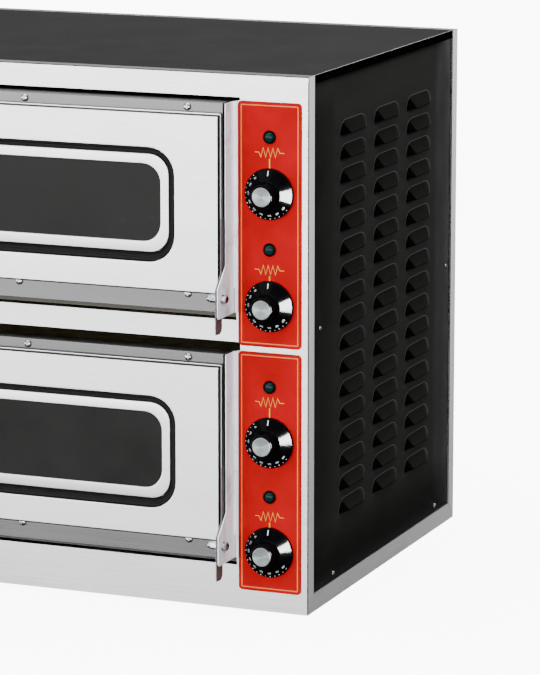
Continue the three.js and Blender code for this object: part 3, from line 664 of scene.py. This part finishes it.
def letter_mesh(text):
    """One dial number as a flat mesh in its own plane, its middle at the origin."""
    curve = bpy.data.curves.new("dial_number", "FONT")
    curve.body = text
    curve.size = 3.5 * MM
    curve.align_x = "CENTER"
    curve.align_y = "CENTER"
    curve.resolution_u = 3
    thing = bpy.data.objects.new("dial_number", curve)
    bpy.context.scene.collection.objects.link(thing)
    mesh = bpy.data.meshes.new_from_object(thing.evaluated_get(bpy.context.evaluated_depsgraph_get()))
    bpy.data.objects.remove(thing)
    return mesh


def pointer_line(mesh_data, knob_back, middle, steps=4):
    """The raised printed line at the top of the skirt."""
    rows = []
    for k in range(steps + 1):
        turn = radians(1.45) * (2 * k / steps - 1)
        rows.append([mesh_data.verts.new(middle + skirt_point(knob_back, r, turn, INK))
                     for r in (25.8 * MM, 32.6 * MM)])
    for first, second in zip(rows, rows[1:]):
        mesh_data.faces.new((first[0], first[1], second[1], second[0])).material_index = 1


def make_knob(number):
    node = f"knob_{number}"
    low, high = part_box(node)
    centre = KNOB_CENTRES[number - 1]
    back, tip = high.y, low.y
    radius = (high.z - low.z) / 2
    neck = back - EDGE_DEPTH - SKIRT_RISE
    cone = [(r, back - EDGE_DEPTH - (SKIRT_FOOT - r) * SKIRT_SLOPE)
            for r in (SKIRT_FOOT - 0.05 * MM, SKIRT_FOOT - 0.4 * MM, SKIRT_NECK + 0.4 * MM, SKIRT_NECK)]
    edge = [(0, back - 0.3 * MM), (5 * MM, back), (radius - 0.5 * MM, back), (radius, back - 0.5 * MM),
            (radius, back - 1.9 * MM), (radius - 0.35 * MM, back - 2.7 * MM),
            (SKIRT_FOOT + 0.3 * MM, back - 3.1 * MM)]
    grip = [(SKIRT_NECK - 0.9 * MM, neck - 0.7 * MM), (GRIP + 0.5 * MM, neck - 2.2 * MM),
            (GRIP, tip + 2.2 * MM), (GRIP - 0.4 * MM, tip + 1.0 * MM), (GRIP - 1.2 * MM, tip + 0.25 * MM),
            (GRIP - 2.0 * MM, tip), (DISC + 0.25 * MM, tip), (DISC + 0.05 * MM, tip + 0.7 * MM),
            (0, tip + 0.7 * MM)]
    mesh_data = bmesh.new()
    middle = Vector((centre.x, 0, centre.z))
    lathe(mesh_data, edge + cone + grip, middle, sides=96)
    pointer_line(mesh_data, back, middle)
    for k in range(2 * len(DIAL) - 1):
        angle = radians(FIRST_MARK + MARK_STEP * k / 2)
        size = 0.62 * MM if k % 2 == 0 else 0.42 * MM
        spot = middle + skirt_point(back, DOT_RING, angle, INK)
        dot = [mesh_data.verts.new(spot + Vector((size * cos(a), 0, size * sin(a))))
               for a in (2 * pi * i / 10 for i in range(10))]
        mesh_data.faces.new(dot).material_index = 1
    for k, value in enumerate(DIAL):
        angle = radians(FIRST_MARK + MARK_STEP * k)
        outward = Vector((sin(angle), SKIRT_SLOPE, cos(angle))).normalized()
        across = Vector((cos(angle), 0, -sin(angle)))
        facing = across.cross(outward)
        turn = Matrix((across, outward, facing)).transposed().to_4x4()
        spot = middle + skirt_point(back, NUMBER_RING, angle, 1.2 * INK)
        start, faces = len(mesh_data.verts), len(mesh_data.faces)
        mesh_data.from_mesh(letter_mesh(str(value)))
        mesh_data.verts.ensure_lookup_table()
        mesh_data.faces.ensure_lookup_table()
        bmesh.ops.transform(mesh_data, matrix=Matrix.Translation(spot) @ turn, verts=mesh_data.verts[start:])
        for face in mesh_data.faces[faces:]:
            face.material_index = 1
    body = place(node + "_moulding", mesh_data, [BAKELITE, WHITE_INK], node, (node,),
                 smooth=38, origin=(centre.x, back, centre.z))
    disc = bmesh.new()
    rings = [(0, tip + 0.55 * MM), (DISC - 0.05 * MM, tip + 0.55 * MM), (DISC, tip + 0.3 * MM),
             (DISC - 0.5 * MM, tip + 0.05 * MM), (DISC - 1.2 * MM, tip + 0.10 * MM), (0, tip + 0.16 * MM)]
    lathe(disc, rings, middle, sides=96)
    insert = place(node + "_disc", disc, [KNOB_DISC], node, smooth=60,
                   origin=(centre.x, tip, centre.z))
    return body, insert


def make_lamp(number):
    node = f"pilot_lamp_{number}"
    low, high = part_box(node)
    centre = (low + high) / 2
    middle = (centre.x, 0, centre.z)
    rim = PANEL_FRONT - 0.3 * MM
    top = low.y
    radius = (high.z - low.z) / 2
    bezel = bmesh.new()
    lathe(bezel, [(6.0 * MM, high.y), (6.0 * MM, rim), (radius, rim), (radius, rim - 1.0 * MM),
                  (radius - 0.5 * MM, rim - 1.7 * MM), (radius - 1.6 * MM, rim - 1.9 * MM),
                  (radius - 2.2 * MM, rim - 0.9 * MM), (5.0 * MM, rim - 0.6 * MM), (5.0 * MM, high.y),
                  (6.0 * MM, high.y)], middle, sides=40)
    place(node + "_bezel", bezel, [BAKELITE], "body")
    lens = bmesh.new()
    dome = [(6.6 * MM * cos(radians(a)), rim - 0.9 * MM - (rim - 0.9 * MM - top - 0.1 * MM) * sin(radians(a)))
            for a in range(0, 90, 15)]
    lathe(lens, [(0, rim - 0.3 * MM), (6.6 * MM, rim - 0.65 * MM)] + dome + [(0, top + 0.1 * MM)], middle,
          sides=40)
    place(node + "_lens", lens, [LENS], "body", (node,), origin=middle)


def ribbon(mesh_data, path, width, y, thick, material):
    """A flat printed line of even width along a path of (x, z) points, with mitred corners."""
    points = [Vector(point) for point in path]
    closed = (points[0] - points[-1]).length < 1e-7
    if closed:
        points = points[:-1]
    count = len(points)
    edges = []
    for i, point in enumerate(points):
        before = points[i - 1] if closed or i else None
        after = points[(i + 1) % count] if closed or i < count - 1 else None
        ahead = ((after - point) if after is not None else (point - before)).normalized()
        behind = ((point - before) if before is not None else (after - point)).normalized()
        along = (ahead + behind).normalized()
        side = Vector((-along.y, along.x))
        spread = width / 2 / max(abs(side.dot(Vector((-ahead.y, ahead.x)))), 0.45)
        edges.append((point + side * spread, point - side * spread))
    loops = [[(p.x, d, p.y) for p, d in ((a, y), (a, y - thick), (b, y - thick), (b, y))] for a, b in edges]
    loft(mesh_data, loops, closed=closed, cap_first=not closed, cap_last=not closed, material=material)


ICON_DROP = (28.0 * MM, 21.2 * MM)     # heater symbol below each lamp, lower control first


def make_control_panel(deck):
    node = "control_panel_" + deck
    low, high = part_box(node)
    mesh_data = bmesh.new()
    edge = 0.45 * MM
    level = inset_loops(low.x, high.x, low.z, high.z, 6 * MM)
    loft(mesh_data, [level(0, high.y), level(0, low.y + edge), level(edge * 0.3, low.y + edge * 0.3),
                     level(edge, low.y)], cap_first=True, cap_last=True)
    ink = 0.08 * MM
    inset = 5.0 * MM
    outline = [(x, z) for x, _, z in level(inset, 0)]
    ribbon(mesh_data, outline + outline[:1], 1.5 * MM, low.y, ink, 2)
    for n, drop in enumerate(ICON_DROP):
        lamp_low, lamp_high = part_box(f"pilot_lamp_{2 * DECKS.index(deck) + n + 1}")
        knob_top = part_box(f"knob_{2 * DECKS.index(deck) + n + 1}")[1].z
        x = (lamp_low.x + lamp_high.x) / 2
        z = (lamp_low.z + lamp_high.z) / 2 - drop
        pitch, height = 3.55 * MM, 6.3 * MM
        teeth = [(x - 12.8 * MM + pitch * k, z + (height if k % 2 else -height)) for k in range(8)]
        coil = [(x - 21.5 * MM, z), (x - 15.8 * MM, z)] + teeth + [(x + 15.0 * MM, z), (x + 21.5 * MM, z)]
        ribbon(mesh_data, coil, 1.15 * MM, low.y, ink, 1)
        ribbon(mesh_data, [(x, z - 8.4 * MM), (x, knob_top - 1.0 * MM)], 1.9 * MM, low.y, ink, 1)
    place(node + "_printed", mesh_data, [RED_COAT, YELLOW_INK, ORANGE_INK], "body",
          (node,), flat=True)


# ---- Chambers ------------------------------------------------------------------------
def tube(mesh_data, path, radius, sides=12):
    """A round rod along a level path, with closed ends."""
    loops = []
    for i, point in enumerate(path):
        ahead = path[min(i + 1, len(path) - 1)] - path[max(i - 1, 0)]
        across = Vector((-ahead.y, ahead.x, 0)).normalized()
        loops.append([point + radius * (across * cos(a) + Vector((0, 0, 1)) * sin(a))
                      for a in (2 * pi * k / sides for k in range(sides))])
    loft(mesh_data, loops, cap_first=True, cap_last=True)


def make_element(node):
    """Six straight runs joined by half-round bends."""
    low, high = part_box(node)
    z = (low.z + high.z) / 2
    rod = (high.z - low.z) / 2
    runs = 6
    pitch = (high.x - low.x - 2 * rod) / (runs - 1)
    bend = pitch / 2
    front, rear = low.y + rod + bend, high.y - rod - bend
    path = [Vector((low.x + rod, low.y + rod, z))]
    for run in range(runs):
        x = low.x + rod + run * pitch
        ends = (front, rear) if run % 2 == 0 else (rear, front)
        path += [Vector((x, ends[0] + (ends[1] - ends[0]) * k / 6, z)) for k in range(7)]
        if run < runs - 1:
            swing = 1 if run % 2 == 0 else -1
            path += [Vector((x + bend - bend * cos(a), ends[1] + swing * bend * sin(a), z))
                     for a in (pi * k / 10 for k in range(1, 10))]
    path.append(Vector((path[-1].x, low.y + rod, z)))
    mesh_data = bmesh.new()
    tube(mesh_data, path, rod)
    place(node + "_rod", mesh_data, [SHEATH], "body", (node,), smooth=50)


def upward(face):
    """Upward faces of the mouth frame get the near-black steel: painted shade on the frame's top faces."""
    return 1 if face.normal.z > 0.7 else 0


def forward(face):
    """Forward faces of the chamber close behind the fascia's front get the darker steel."""
    return 1 if face.normal.y < -0.7 and face.calc_center_median().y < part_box("fascia")[0].y + 8 * MM else 0


def make_chamber(deck):
    refined("mouth_frame_" + deck, [MOUTH_SHADE_STEEL, SHADE_AND_HEAT_TINT_STEEL], 0.5 * MM, upward)
    refined("chamber_" + deck, [CHAMBER_STEEL, SHADE_AND_HEAT_TINT_STEEL], 0.5 * MM, forward)
    refined("hearth_stone_" + deck, [STONE], 2.0 * MM)
    refined("insulation_" + deck, [WOOL], 4.0 * MM)
    make_element("bottom_element_" + deck)
    make_element("top_element_" + deck)
    low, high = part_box("mouth_frame_" + deck)
    for row, z, near in (("top", high.z - 7.4 * MM, 40 * MM), ("foot", low.z + 23.0 * MM, 28 * MM)):
        spots = [(x, low.y, z) for x in (-284 * MM, -near, near, 284 * MM)]
        screws(f"mouth_screws_{row}_{deck}", spots, "front", 5.4 * MM)


# ---- Hinges --------------------------------------------------------------------------
def make_hinge(deck, label, side):
    cheek_plate = refined(f"hinge_cheek_{deck}_{label}", [HINGE_STEEL], 0.35 * MM)
    refined(f"door_lever_{deck}_{label}", [LEVER_SHADE_STEEL], 0.35 * MM)
    node = f"hinge_bolt_{deck}_{label}"
    low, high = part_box(node)
    centre = (0, (low.y + high.y) / 2, (low.z + high.z) / 2)
    outer, inner = (high.x, low.x) if side > 0 else (low.x, high.x)

    reach = abs(outer - inner) / MM
    mesh_data = bmesh.new()

    def run(end, into, profile, sides, phase=0):
        """Turns (radius, distance) pairs in mm; the distance is from that end of the bolt inwards."""
        lathe(mesh_data, [(r * MM, end + into * x * MM) for r, x in profile], centre, "x", sides,
              phase=radians(phase))

    # Hexagon head with a chamfered crown, on a washer against the cheek plate, then the shank.
    run(outer, -side, [(0, 0), (4.4, 0), (6.2, 1.1), (6.2, 6.4), (3.2, 6.4)], 6, 12)
    run(outer, -side, [(3.2, 6.5), (6.4, 6.5), (6.4, 7.9), (3.2, 7.9)], 32)
    run(outer, -side, [(0, 3), (2.95, 3), (2.95, reach - 18), (0, reach - 18)], 24)
    # Flanged cap nut with its dome inboard of the lever plate.
    dome = [(4.8 * sin(radians(a)), 4.8 - 4.8 * cos(radians(a))) for a in range(0, 91, 15)]
    run(inner, side, dome + [(4.8, 6), (3, 6)], 28)
    run(inner, side, [(3, 6), (4.9, 6.1), (5.8, 7), (5.8, 15), (3, 15)], 6, 20)
    run(inner, side, [(3, 15), (5.9, 15.2), (5.9, 17.6), (3, 17.6)], 32)
    place(node + "_turned", mesh_data, [FASTENER], BODY_OF[node], (node,), bevel=0.2 * MM)
    return cheek_plate


# ---- Doors ---------------------------------------------------------------------------
def tint_returns(mesh_data, flat=0.35):
    """The folded edges get the near-black steel: painted shade."""
    bmesh.ops.recalc_face_normals(mesh_data, faces=mesh_data.faces)
    for face in mesh_data.faces:
        if abs(face.normal.y) < flat:
            face.material_index = 1


GAP = 0.4 * MM                         # between the seal and the sheets beside it
WINDOW_CORNER = 38 * MM
RING_HALF, RING_CORNER = 260 * MM, 28 * MM           # embossed ring of the inner pan
SIGHT_HALF, SIGHT_CORNER = 248 * MM, 26 * MM         # the opening over the glass
FOLD = 2.6 * MM                        # radius of the skin's folded edges
LIP = 1.2 * MM                         # radius of the skin's edge round the window
# Share of the way from the seal's outer edge to its inner one, and mm behind the door's front.
SEAL_SHAPE = ((0.0, 1.2), (0.04, 0.6), (0.12, 0.4), (0.24, 0.6), (0.34, 1.6), (0.42, 3.2), (0.80, 3.4),
              (0.92, 2.6), (1.0, 2.4))
# Share of the grip's radius, and mm from its tip.
GRIP_SHAPE = ((0, 0), (0.35, 0.3), (0.68, 1.6), (0.88, 4.2), (0.98, 9), (1, 14), (0.93, 24), (0.76, 37),
              (0.66, 47), (0.66, 51.5), (0.6, 52.4), (0, 52.4))
# Radius in mm, and mm from the tip or in front of the skin.
COLLAR_SHAPE = ((0, 52.4), (8.4, 52.5), (8.8, 53.2), (8.8, 55.4), (6.4, 56.4), (5, 57.5))
WASHER_SHAPE = ((5, 1.6), (9.5, 1.4), (9.8, 0.9), (9.8, 0.15), (5, 0.1))


def ring_heights(deck):
    """Lower and upper edge of the embossed ring."""
    low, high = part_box("window_seal_" + deck)
    return low.z - GAP + 13 * MM, high.z + GAP - 8.5 * MM


def make_skin(deck):
    """Front skin: edges folded back all round, and a pressed edge round the window cut-out."""
    low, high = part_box("door_skin_" + deck)
    seal_low, seal_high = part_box("window_seal_" + deck)
    front, back, inside = low.y, high.y, low.y + 1.6 * MM
    window = inset_loops(seal_low.x - GAP, seal_high.x + GAP, seal_low.z - GAP, seal_high.z + GAP,
                         WINDOW_CORNER)

    def sheet(inset, y, radius):
        return rounded_loop(low.x + inset, high.x - inset, low.z + inset, high.z - inset, radius, y)

    loops = [sheet(0, back, 1.5 * MM), sheet(0, front + FOLD, 1.5 * MM)]
    for a in (radians(90 * k / 5) for k in range(1, 6)):
        inset = FOLD * (1 - cos(a))
        loops.append(sheet(inset, front + FOLD - FOLD * sin(a), 1.5 * MM + inset * 0.6))
    loops.append(window(-3 * LIP, front))
    for a in (radians(90 * k / 4) for k in range(5)):
        loops.append(window(-LIP * (1 - sin(a)), front + LIP * (1 - cos(a))))
    loops += [window(0, back), window(-SHEET, back), window(-SHEET - 1.4 * MM, inside),
              sheet(FOLD + SHEET, inside, 2 * MM), sheet(SHEET, front + FOLD + SHEET, 1.2 * MM),
              sheet(SHEET, back, 1.2 * MM)]
    skin = bmesh.new()
    loft(skin, loops, closed=True)
    tint_returns(skin, 0.93)
    place(f"door_skin_{deck}_pressed", skin, [DOOR_STEEL, FOLD_SHADE_STEEL], "door_" + deck,
          ("door_skin_" + deck,), smooth=40, flat=True)


def make_seal(deck):
    """Rubber seal: a hollow channel between the skin and the ring, with a raised outer bead."""
    low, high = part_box("window_seal_" + deck)
    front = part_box("door_skin_" + deck)[0].y
    foot, head = ring_heights(deck)
    outer = (low.x, high.x, low.z, high.z, WINDOW_CORNER - GAP)
    inner = (-RING_HALF - GAP, RING_HALF + GAP, foot - GAP, head + GAP, RING_CORNER)
    profile = [(0.0, high.y)] + [(share, front + depth * MM) for share, depth in SEAL_SHAPE] + [(1.0, high.y)]
    loops = [rounded_loop(*(a + (b - a) * share for a, b in zip(outer, inner)), y) for share, y in profile]
    seal = bmesh.new()
    loft(seal, loops, closed=True)
    place(f"window_seal_{deck}_bead", seal, [RUBBER], "door_" + deck,
          ("window_seal_" + deck,), smooth=50)


def make_pan(deck):
    """Inner pan: embossed face round the glass, side walls, and a back with the sight cut-out."""
    low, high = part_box("door_pan_" + deck)
    glass_low, glass_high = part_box("door_glass_" + deck)
    foot, head = ring_heights(deck)
    ring = inset_loops(-RING_HALF, RING_HALF, foot, head, RING_CORNER)
    sight = inset_loops(-SIGHT_HALF, SIGHT_HALF, glass_low.z + 6 * MM, glass_high.z - 6 * MM, SIGHT_CORNER)
    wall = inset_loops(low.x, high.x, low.z, high.z, 2 * MM, 1.5 * MM)
    face, back = low.y, high.y
    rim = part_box("door_skin_" + deck)[1].y + 1.4 * MM
    loops = [ring(0, back - SHEET), ring(0, face + 1.4 * MM), ring(0.3 * MM, face + 0.6 * MM),
             ring(1.0 * MM, face + 0.25 * MM), sight(-1.3 * MM, face), sight(-0.4 * MM, face + 0.35 * MM),
             sight(0, face + 1.3 * MM), sight(0, face + 1.45 * MM), sight(-7 * MM, face + 1.5 * MM),
             sight(-7 * MM, back - SHEET - 1.5 * MM), sight(0, back - SHEET - 1.4 * MM),
             sight(0, back - 0.3 * MM), sight(-0.4 * MM, back), wall(1.0 * MM, back),
             wall(0, back - 1.0 * MM), wall(0, rim), wall(SHEET, rim), wall(SHEET, back - SHEET)]
    pan = bmesh.new()
    loft(pan, loops, closed=True)
    tint_returns(pan)
    place(f"door_pan_{deck}_pressed", pan, [DOOR_STEEL, FOLD_SHADE_STEEL], "door_" + deck,
          ("door_pan_" + deck,), smooth=40, flat=True)


def make_pane(deck):
    """Pane of glass with ground edges."""
    low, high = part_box("door_glass_" + deck)
    rim = inset_loops(low.x, high.x, low.z, high.z, 25 * MM)
    ground = 0.6 * MM
    pane = bmesh.new()
    loft(pane, [rim(ground, low.y), rim(0, low.y + ground), rim(0, high.y - ground), rim(ground, high.y)],
         cap_first=True, cap_last=True)
    place(f"door_glass_{deck}_pane", pane, [GLASS], "door_" + deck, ("door_glass_" + deck,))


def make_handle(deck):
    """Turned bakelite grip on a steel collar."""
    low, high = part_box("door_handle_" + deck)
    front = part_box("door_skin_" + deck)[0].y
    centre = ((low.x + high.x) / 2, 0, (low.z + high.z) / 2)
    tip, grip = low.y, (high.z - low.z) / 2
    handle = bmesh.new()
    lathe(handle, [(share * grip, tip + y * MM) for share, y in GRIP_SHAPE], centre, sides=56)
    collar = [(r * MM, tip + y * MM) for r, y in COLLAR_SHAPE]
    washer = [(r * MM, front - y * MM) for r, y in WASHER_SHAPE]
    lathe(handle, collar + washer + [(5 * MM, high.y), (0, high.y)], centre, material=1)
    place(f"door_handle_{deck}_turned", handle, [BAKELITE, FASTENER], "door_" + deck,
          ("door_handle_" + deck,))


def make_door(deck):
    for make in (make_skin, make_seal, make_pan, make_pane, make_handle):
        make(deck)


# ---- Rear and inside -----------------------------------------------------------------
def make_rear_details():
    low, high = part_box("rear_panel")
    heights = [low.z + 60 * MM + k * (high.z - low.z - 120 * MM) / 4 for k in range(5)]
    spots = [(x, high.y, z) for x in (low.x + 30 * MM, high.x - 30 * MM) for z in heights]
    screws("rear_screws", spots, "rear", 4.2 * MM)
    refined("cable_gland", [RUBBER], 0.4 * MM)
    refined("terminal_block", [GREY_PLASTIC], 1.0 * MM)
    for number in range(1, 5):
        refined(f"thermostat_{number}", [GREY_PLASTIC], 1.2 * MM)
        refined(f"thermostat_shaft_{number}", [FASTENER], 0.3 * MM)


# ---- Studio --------------------------------------------------------------------------
CAMERA_PLACE = Vector((2.281, -4.9365, 1.4021))
CAMERA_TURN, CAMERA_DIP = radians(21.971), radians(11.355)
CAMERA_LENS = 200.4
FLOOR_GLOW = 8.0


def make_camera():
    camera = bpy.data.cameras.new("camera")
    camera.lens = CAMERA_LENS
    camera.sensor_width = 36.0
    camera.clip_end = 200.0
    thing = bpy.data.objects.new("camera", camera)
    thing.location = CAMERA_PLACE
    thing.rotation_euler = (pi / 2 - CAMERA_DIP, 0.0, CAMERA_TURN)
    bpy.context.scene.collection.objects.link(thing)
    bpy.context.scene.camera = thing


def make_floor():
    """A pale paper sweep, bright enough to read as white without lighting the oven from below."""
    mesh_data = bmesh.new()
    bmesh.ops.create_grid(mesh_data, x_segments=2, y_segments=2, size=60.0)
    mesh = bpy.data.meshes.new("floor")
    mesh_data.to_mesh(mesh)
    mesh_data.free()
    floor = bpy.data.objects.new("floor", mesh)
    bpy.context.scene.collection.objects.link(floor)
    paper = Shader("pale_paper")
    paper.set(Specular_IOR_Level=0.0, Emission_Color=(1.0, 1.0, 1.0, 1.0), Emission_Strength=FLOOR_GLOW)
    fibres = paper.noise(3.0, detail=3)
    mesh.materials.append(paper.finish(paper.mix(fibres, (0.80, 0.80, 0.80), (0.82, 0.82, 0.82)), 0.9))
    floor.visible_diffuse = False
    floor.visible_glossy = False
    floor.visible_transmission = False
    floor.visible_shadow = False


# Brightness against the height of a direction (-1 straight down, 1 straight up).
FRONT_SKY = ((-1.0, 0.05), (-0.4, 0.1), (-0.3, 0.2), (-0.22, 1.1), (-0.14, 7.5), (-0.01, 11.0),
             (0.10, 2.5), (0.17, 0.4), (0.72, 0.4), (0.84, 6.0), (1.0, 6.0))
REAR_SKY = ((-1.0, 0.02), (-0.4, 0.05), (-0.27, 0.25), (-0.2, 0.6), (-0.12, 1.3), (-0.04, 1.0),
            (0.05, 0.4), (0.3, 0.35), (0.72, 0.4), (0.84, 6.0), (1.0, 6.0))
SIDE_SKY = ((-1.0, 0.02), (-0.3, 0.08), (0.0, 0.14), (0.72, 0.3), (0.84, 6.0), (1.0, 6.0))


def make_world():
    """Soft surroundings: a broad bright side in front and to the left, dimmer behind and below."""
    world = bpy.data.worlds.new("studio")
    bpy.context.scene.world = world
    world.use_nodes = True
    tree = world.node_tree
    direction = tree.nodes.new("ShaderNodeTexCoord").outputs["Generated"]
    toward = tree.nodes.new("ShaderNodeVectorMath")
    toward.operation = "DOT_PRODUCT"
    toward.inputs[1].default_value = (-0.383, -0.924, 0.0)
    tree.links.new(direction, toward.inputs[0])
    split = tree.nodes.new("ShaderNodeSeparateXYZ")
    tree.links.new(direction, split.inputs[0])

    def by_height(sky):
        curve = tree.nodes.new("ShaderNodeFloatCurve")
        tree.links.new(split.outputs["Z"], curve.inputs["Value"])
        shape = curve.mapping
        shape.clip_min_x, shape.clip_min_y, shape.clip_max_x, shape.clip_max_y = -1.0, 0.0, 1.0, 12.0
        points = shape.curves[0].points
        while len(points) < len(sky):
            points.new(0.0, 0.0)
        for point, height_and_value in zip(points, sky):
            point.location = height_and_value
            point.handle_type = "VECTOR"
        shape.update()
        return curve.outputs["Value"]

    def toward_blend(low, high, first, second):
        share = tree.nodes.new("ShaderNodeMapRange")
        share.interpolation_type = "SMOOTHSTEP"
        for socket, number in zip(share.inputs[1:5], (low, high, 0.0, 1.0)):
            socket.default_value = number
        tree.links.new(toward.outputs["Value"], share.inputs[0])
        blend = tree.nodes.new("ShaderNodeMix")
        for number, value in ((0, share.outputs["Result"]), (2, first), (3, second)):
            tree.links.new(value, blend.inputs[number])
        return blend.outputs[0]

    glow = toward_blend(-0.85, -0.5, by_height(REAR_SKY), by_height(SIDE_SKY))
    glow = toward_blend(0.15, 0.75, glow, by_height(FRONT_SKY))
    background = tree.nodes["Background"]
    background.inputs["Color"].default_value = (1.0, 1.0, 1.0, 1.0)
    tree.links.new(glow, background.inputs["Strength"])


def area_light(name, spot, target, size, power, receivers=None, glossy_only=False):
    lamp = bpy.data.lights.new(name, "AREA")
    lamp.shape = "RECTANGLE"
    lamp.size, lamp.size_y = size
    lamp.energy = power
    thing = bpy.data.objects.new(name, lamp)
    thing.location = spot
    thing.rotation_euler = (Vector(target) - Vector(spot)).to_track_quat("-Z", "Z").to_euler()
    thing.visible_camera = False
    thing.visible_diffuse = not glossy_only
    bpy.context.scene.collection.objects.link(thing)
    if receivers:
        group = bpy.data.collections.new(name + "_receivers")
        for piece in receivers:
            group.objects.link(piece)
        thing.light_linking.receiver_collection = group


def make_lights(knob_pieces, cheek_plates):
    area_light("key_softbox", (-1.6, -3.2, 2.6), (0.0, 0.0, 0.35), (1.8, 1.8), 45.0)
    area_light("top_softbox", (0.6, 0.4, 3.2), (0.0, 0.1, 0.4), (2.2, 1.6), 12.0)
    knobs = sum(KNOB_CENTRES, Vector()) / len(KNOB_CENTRES)
    area_light("knob_strip_light", (1.0, -2.33, 0.2), knobs, (0.34, 0.85), 2000.0,
               [body for body, _ in knob_pieces], glossy_only=True)
    area_light("disc_strip_light", (1.0, -2.33, 0.0), knobs, (0.34, 1.15), 90.0,
               [disc for _, disc in knob_pieces], glossy_only=True)
    area_light("cheek_light", (1.6, -1.8, 1.1), knobs, (0.8, 0.8), 60.0, cheek_plates)


make_camera()
make_floor()
make_world()
make_casing()
for side_label, side_sign in SIDES:
    louvred_side(side_label, side_sign)
knob_parts = [make_knob(knob_number) for knob_number in range(1, 5)]
for lamp_number in range(1, 5):
    make_lamp(lamp_number)
cheeks = []
for deck_name in DECKS:
    make_control_panel(deck_name)
    make_chamber(deck_name)
    make_door(deck_name)
    cheeks += [make_hinge(deck_name, side_label, side_sign) for side_label, side_sign in SIDES]
make_rear_details()
make_lights(knob_parts, cheeks)
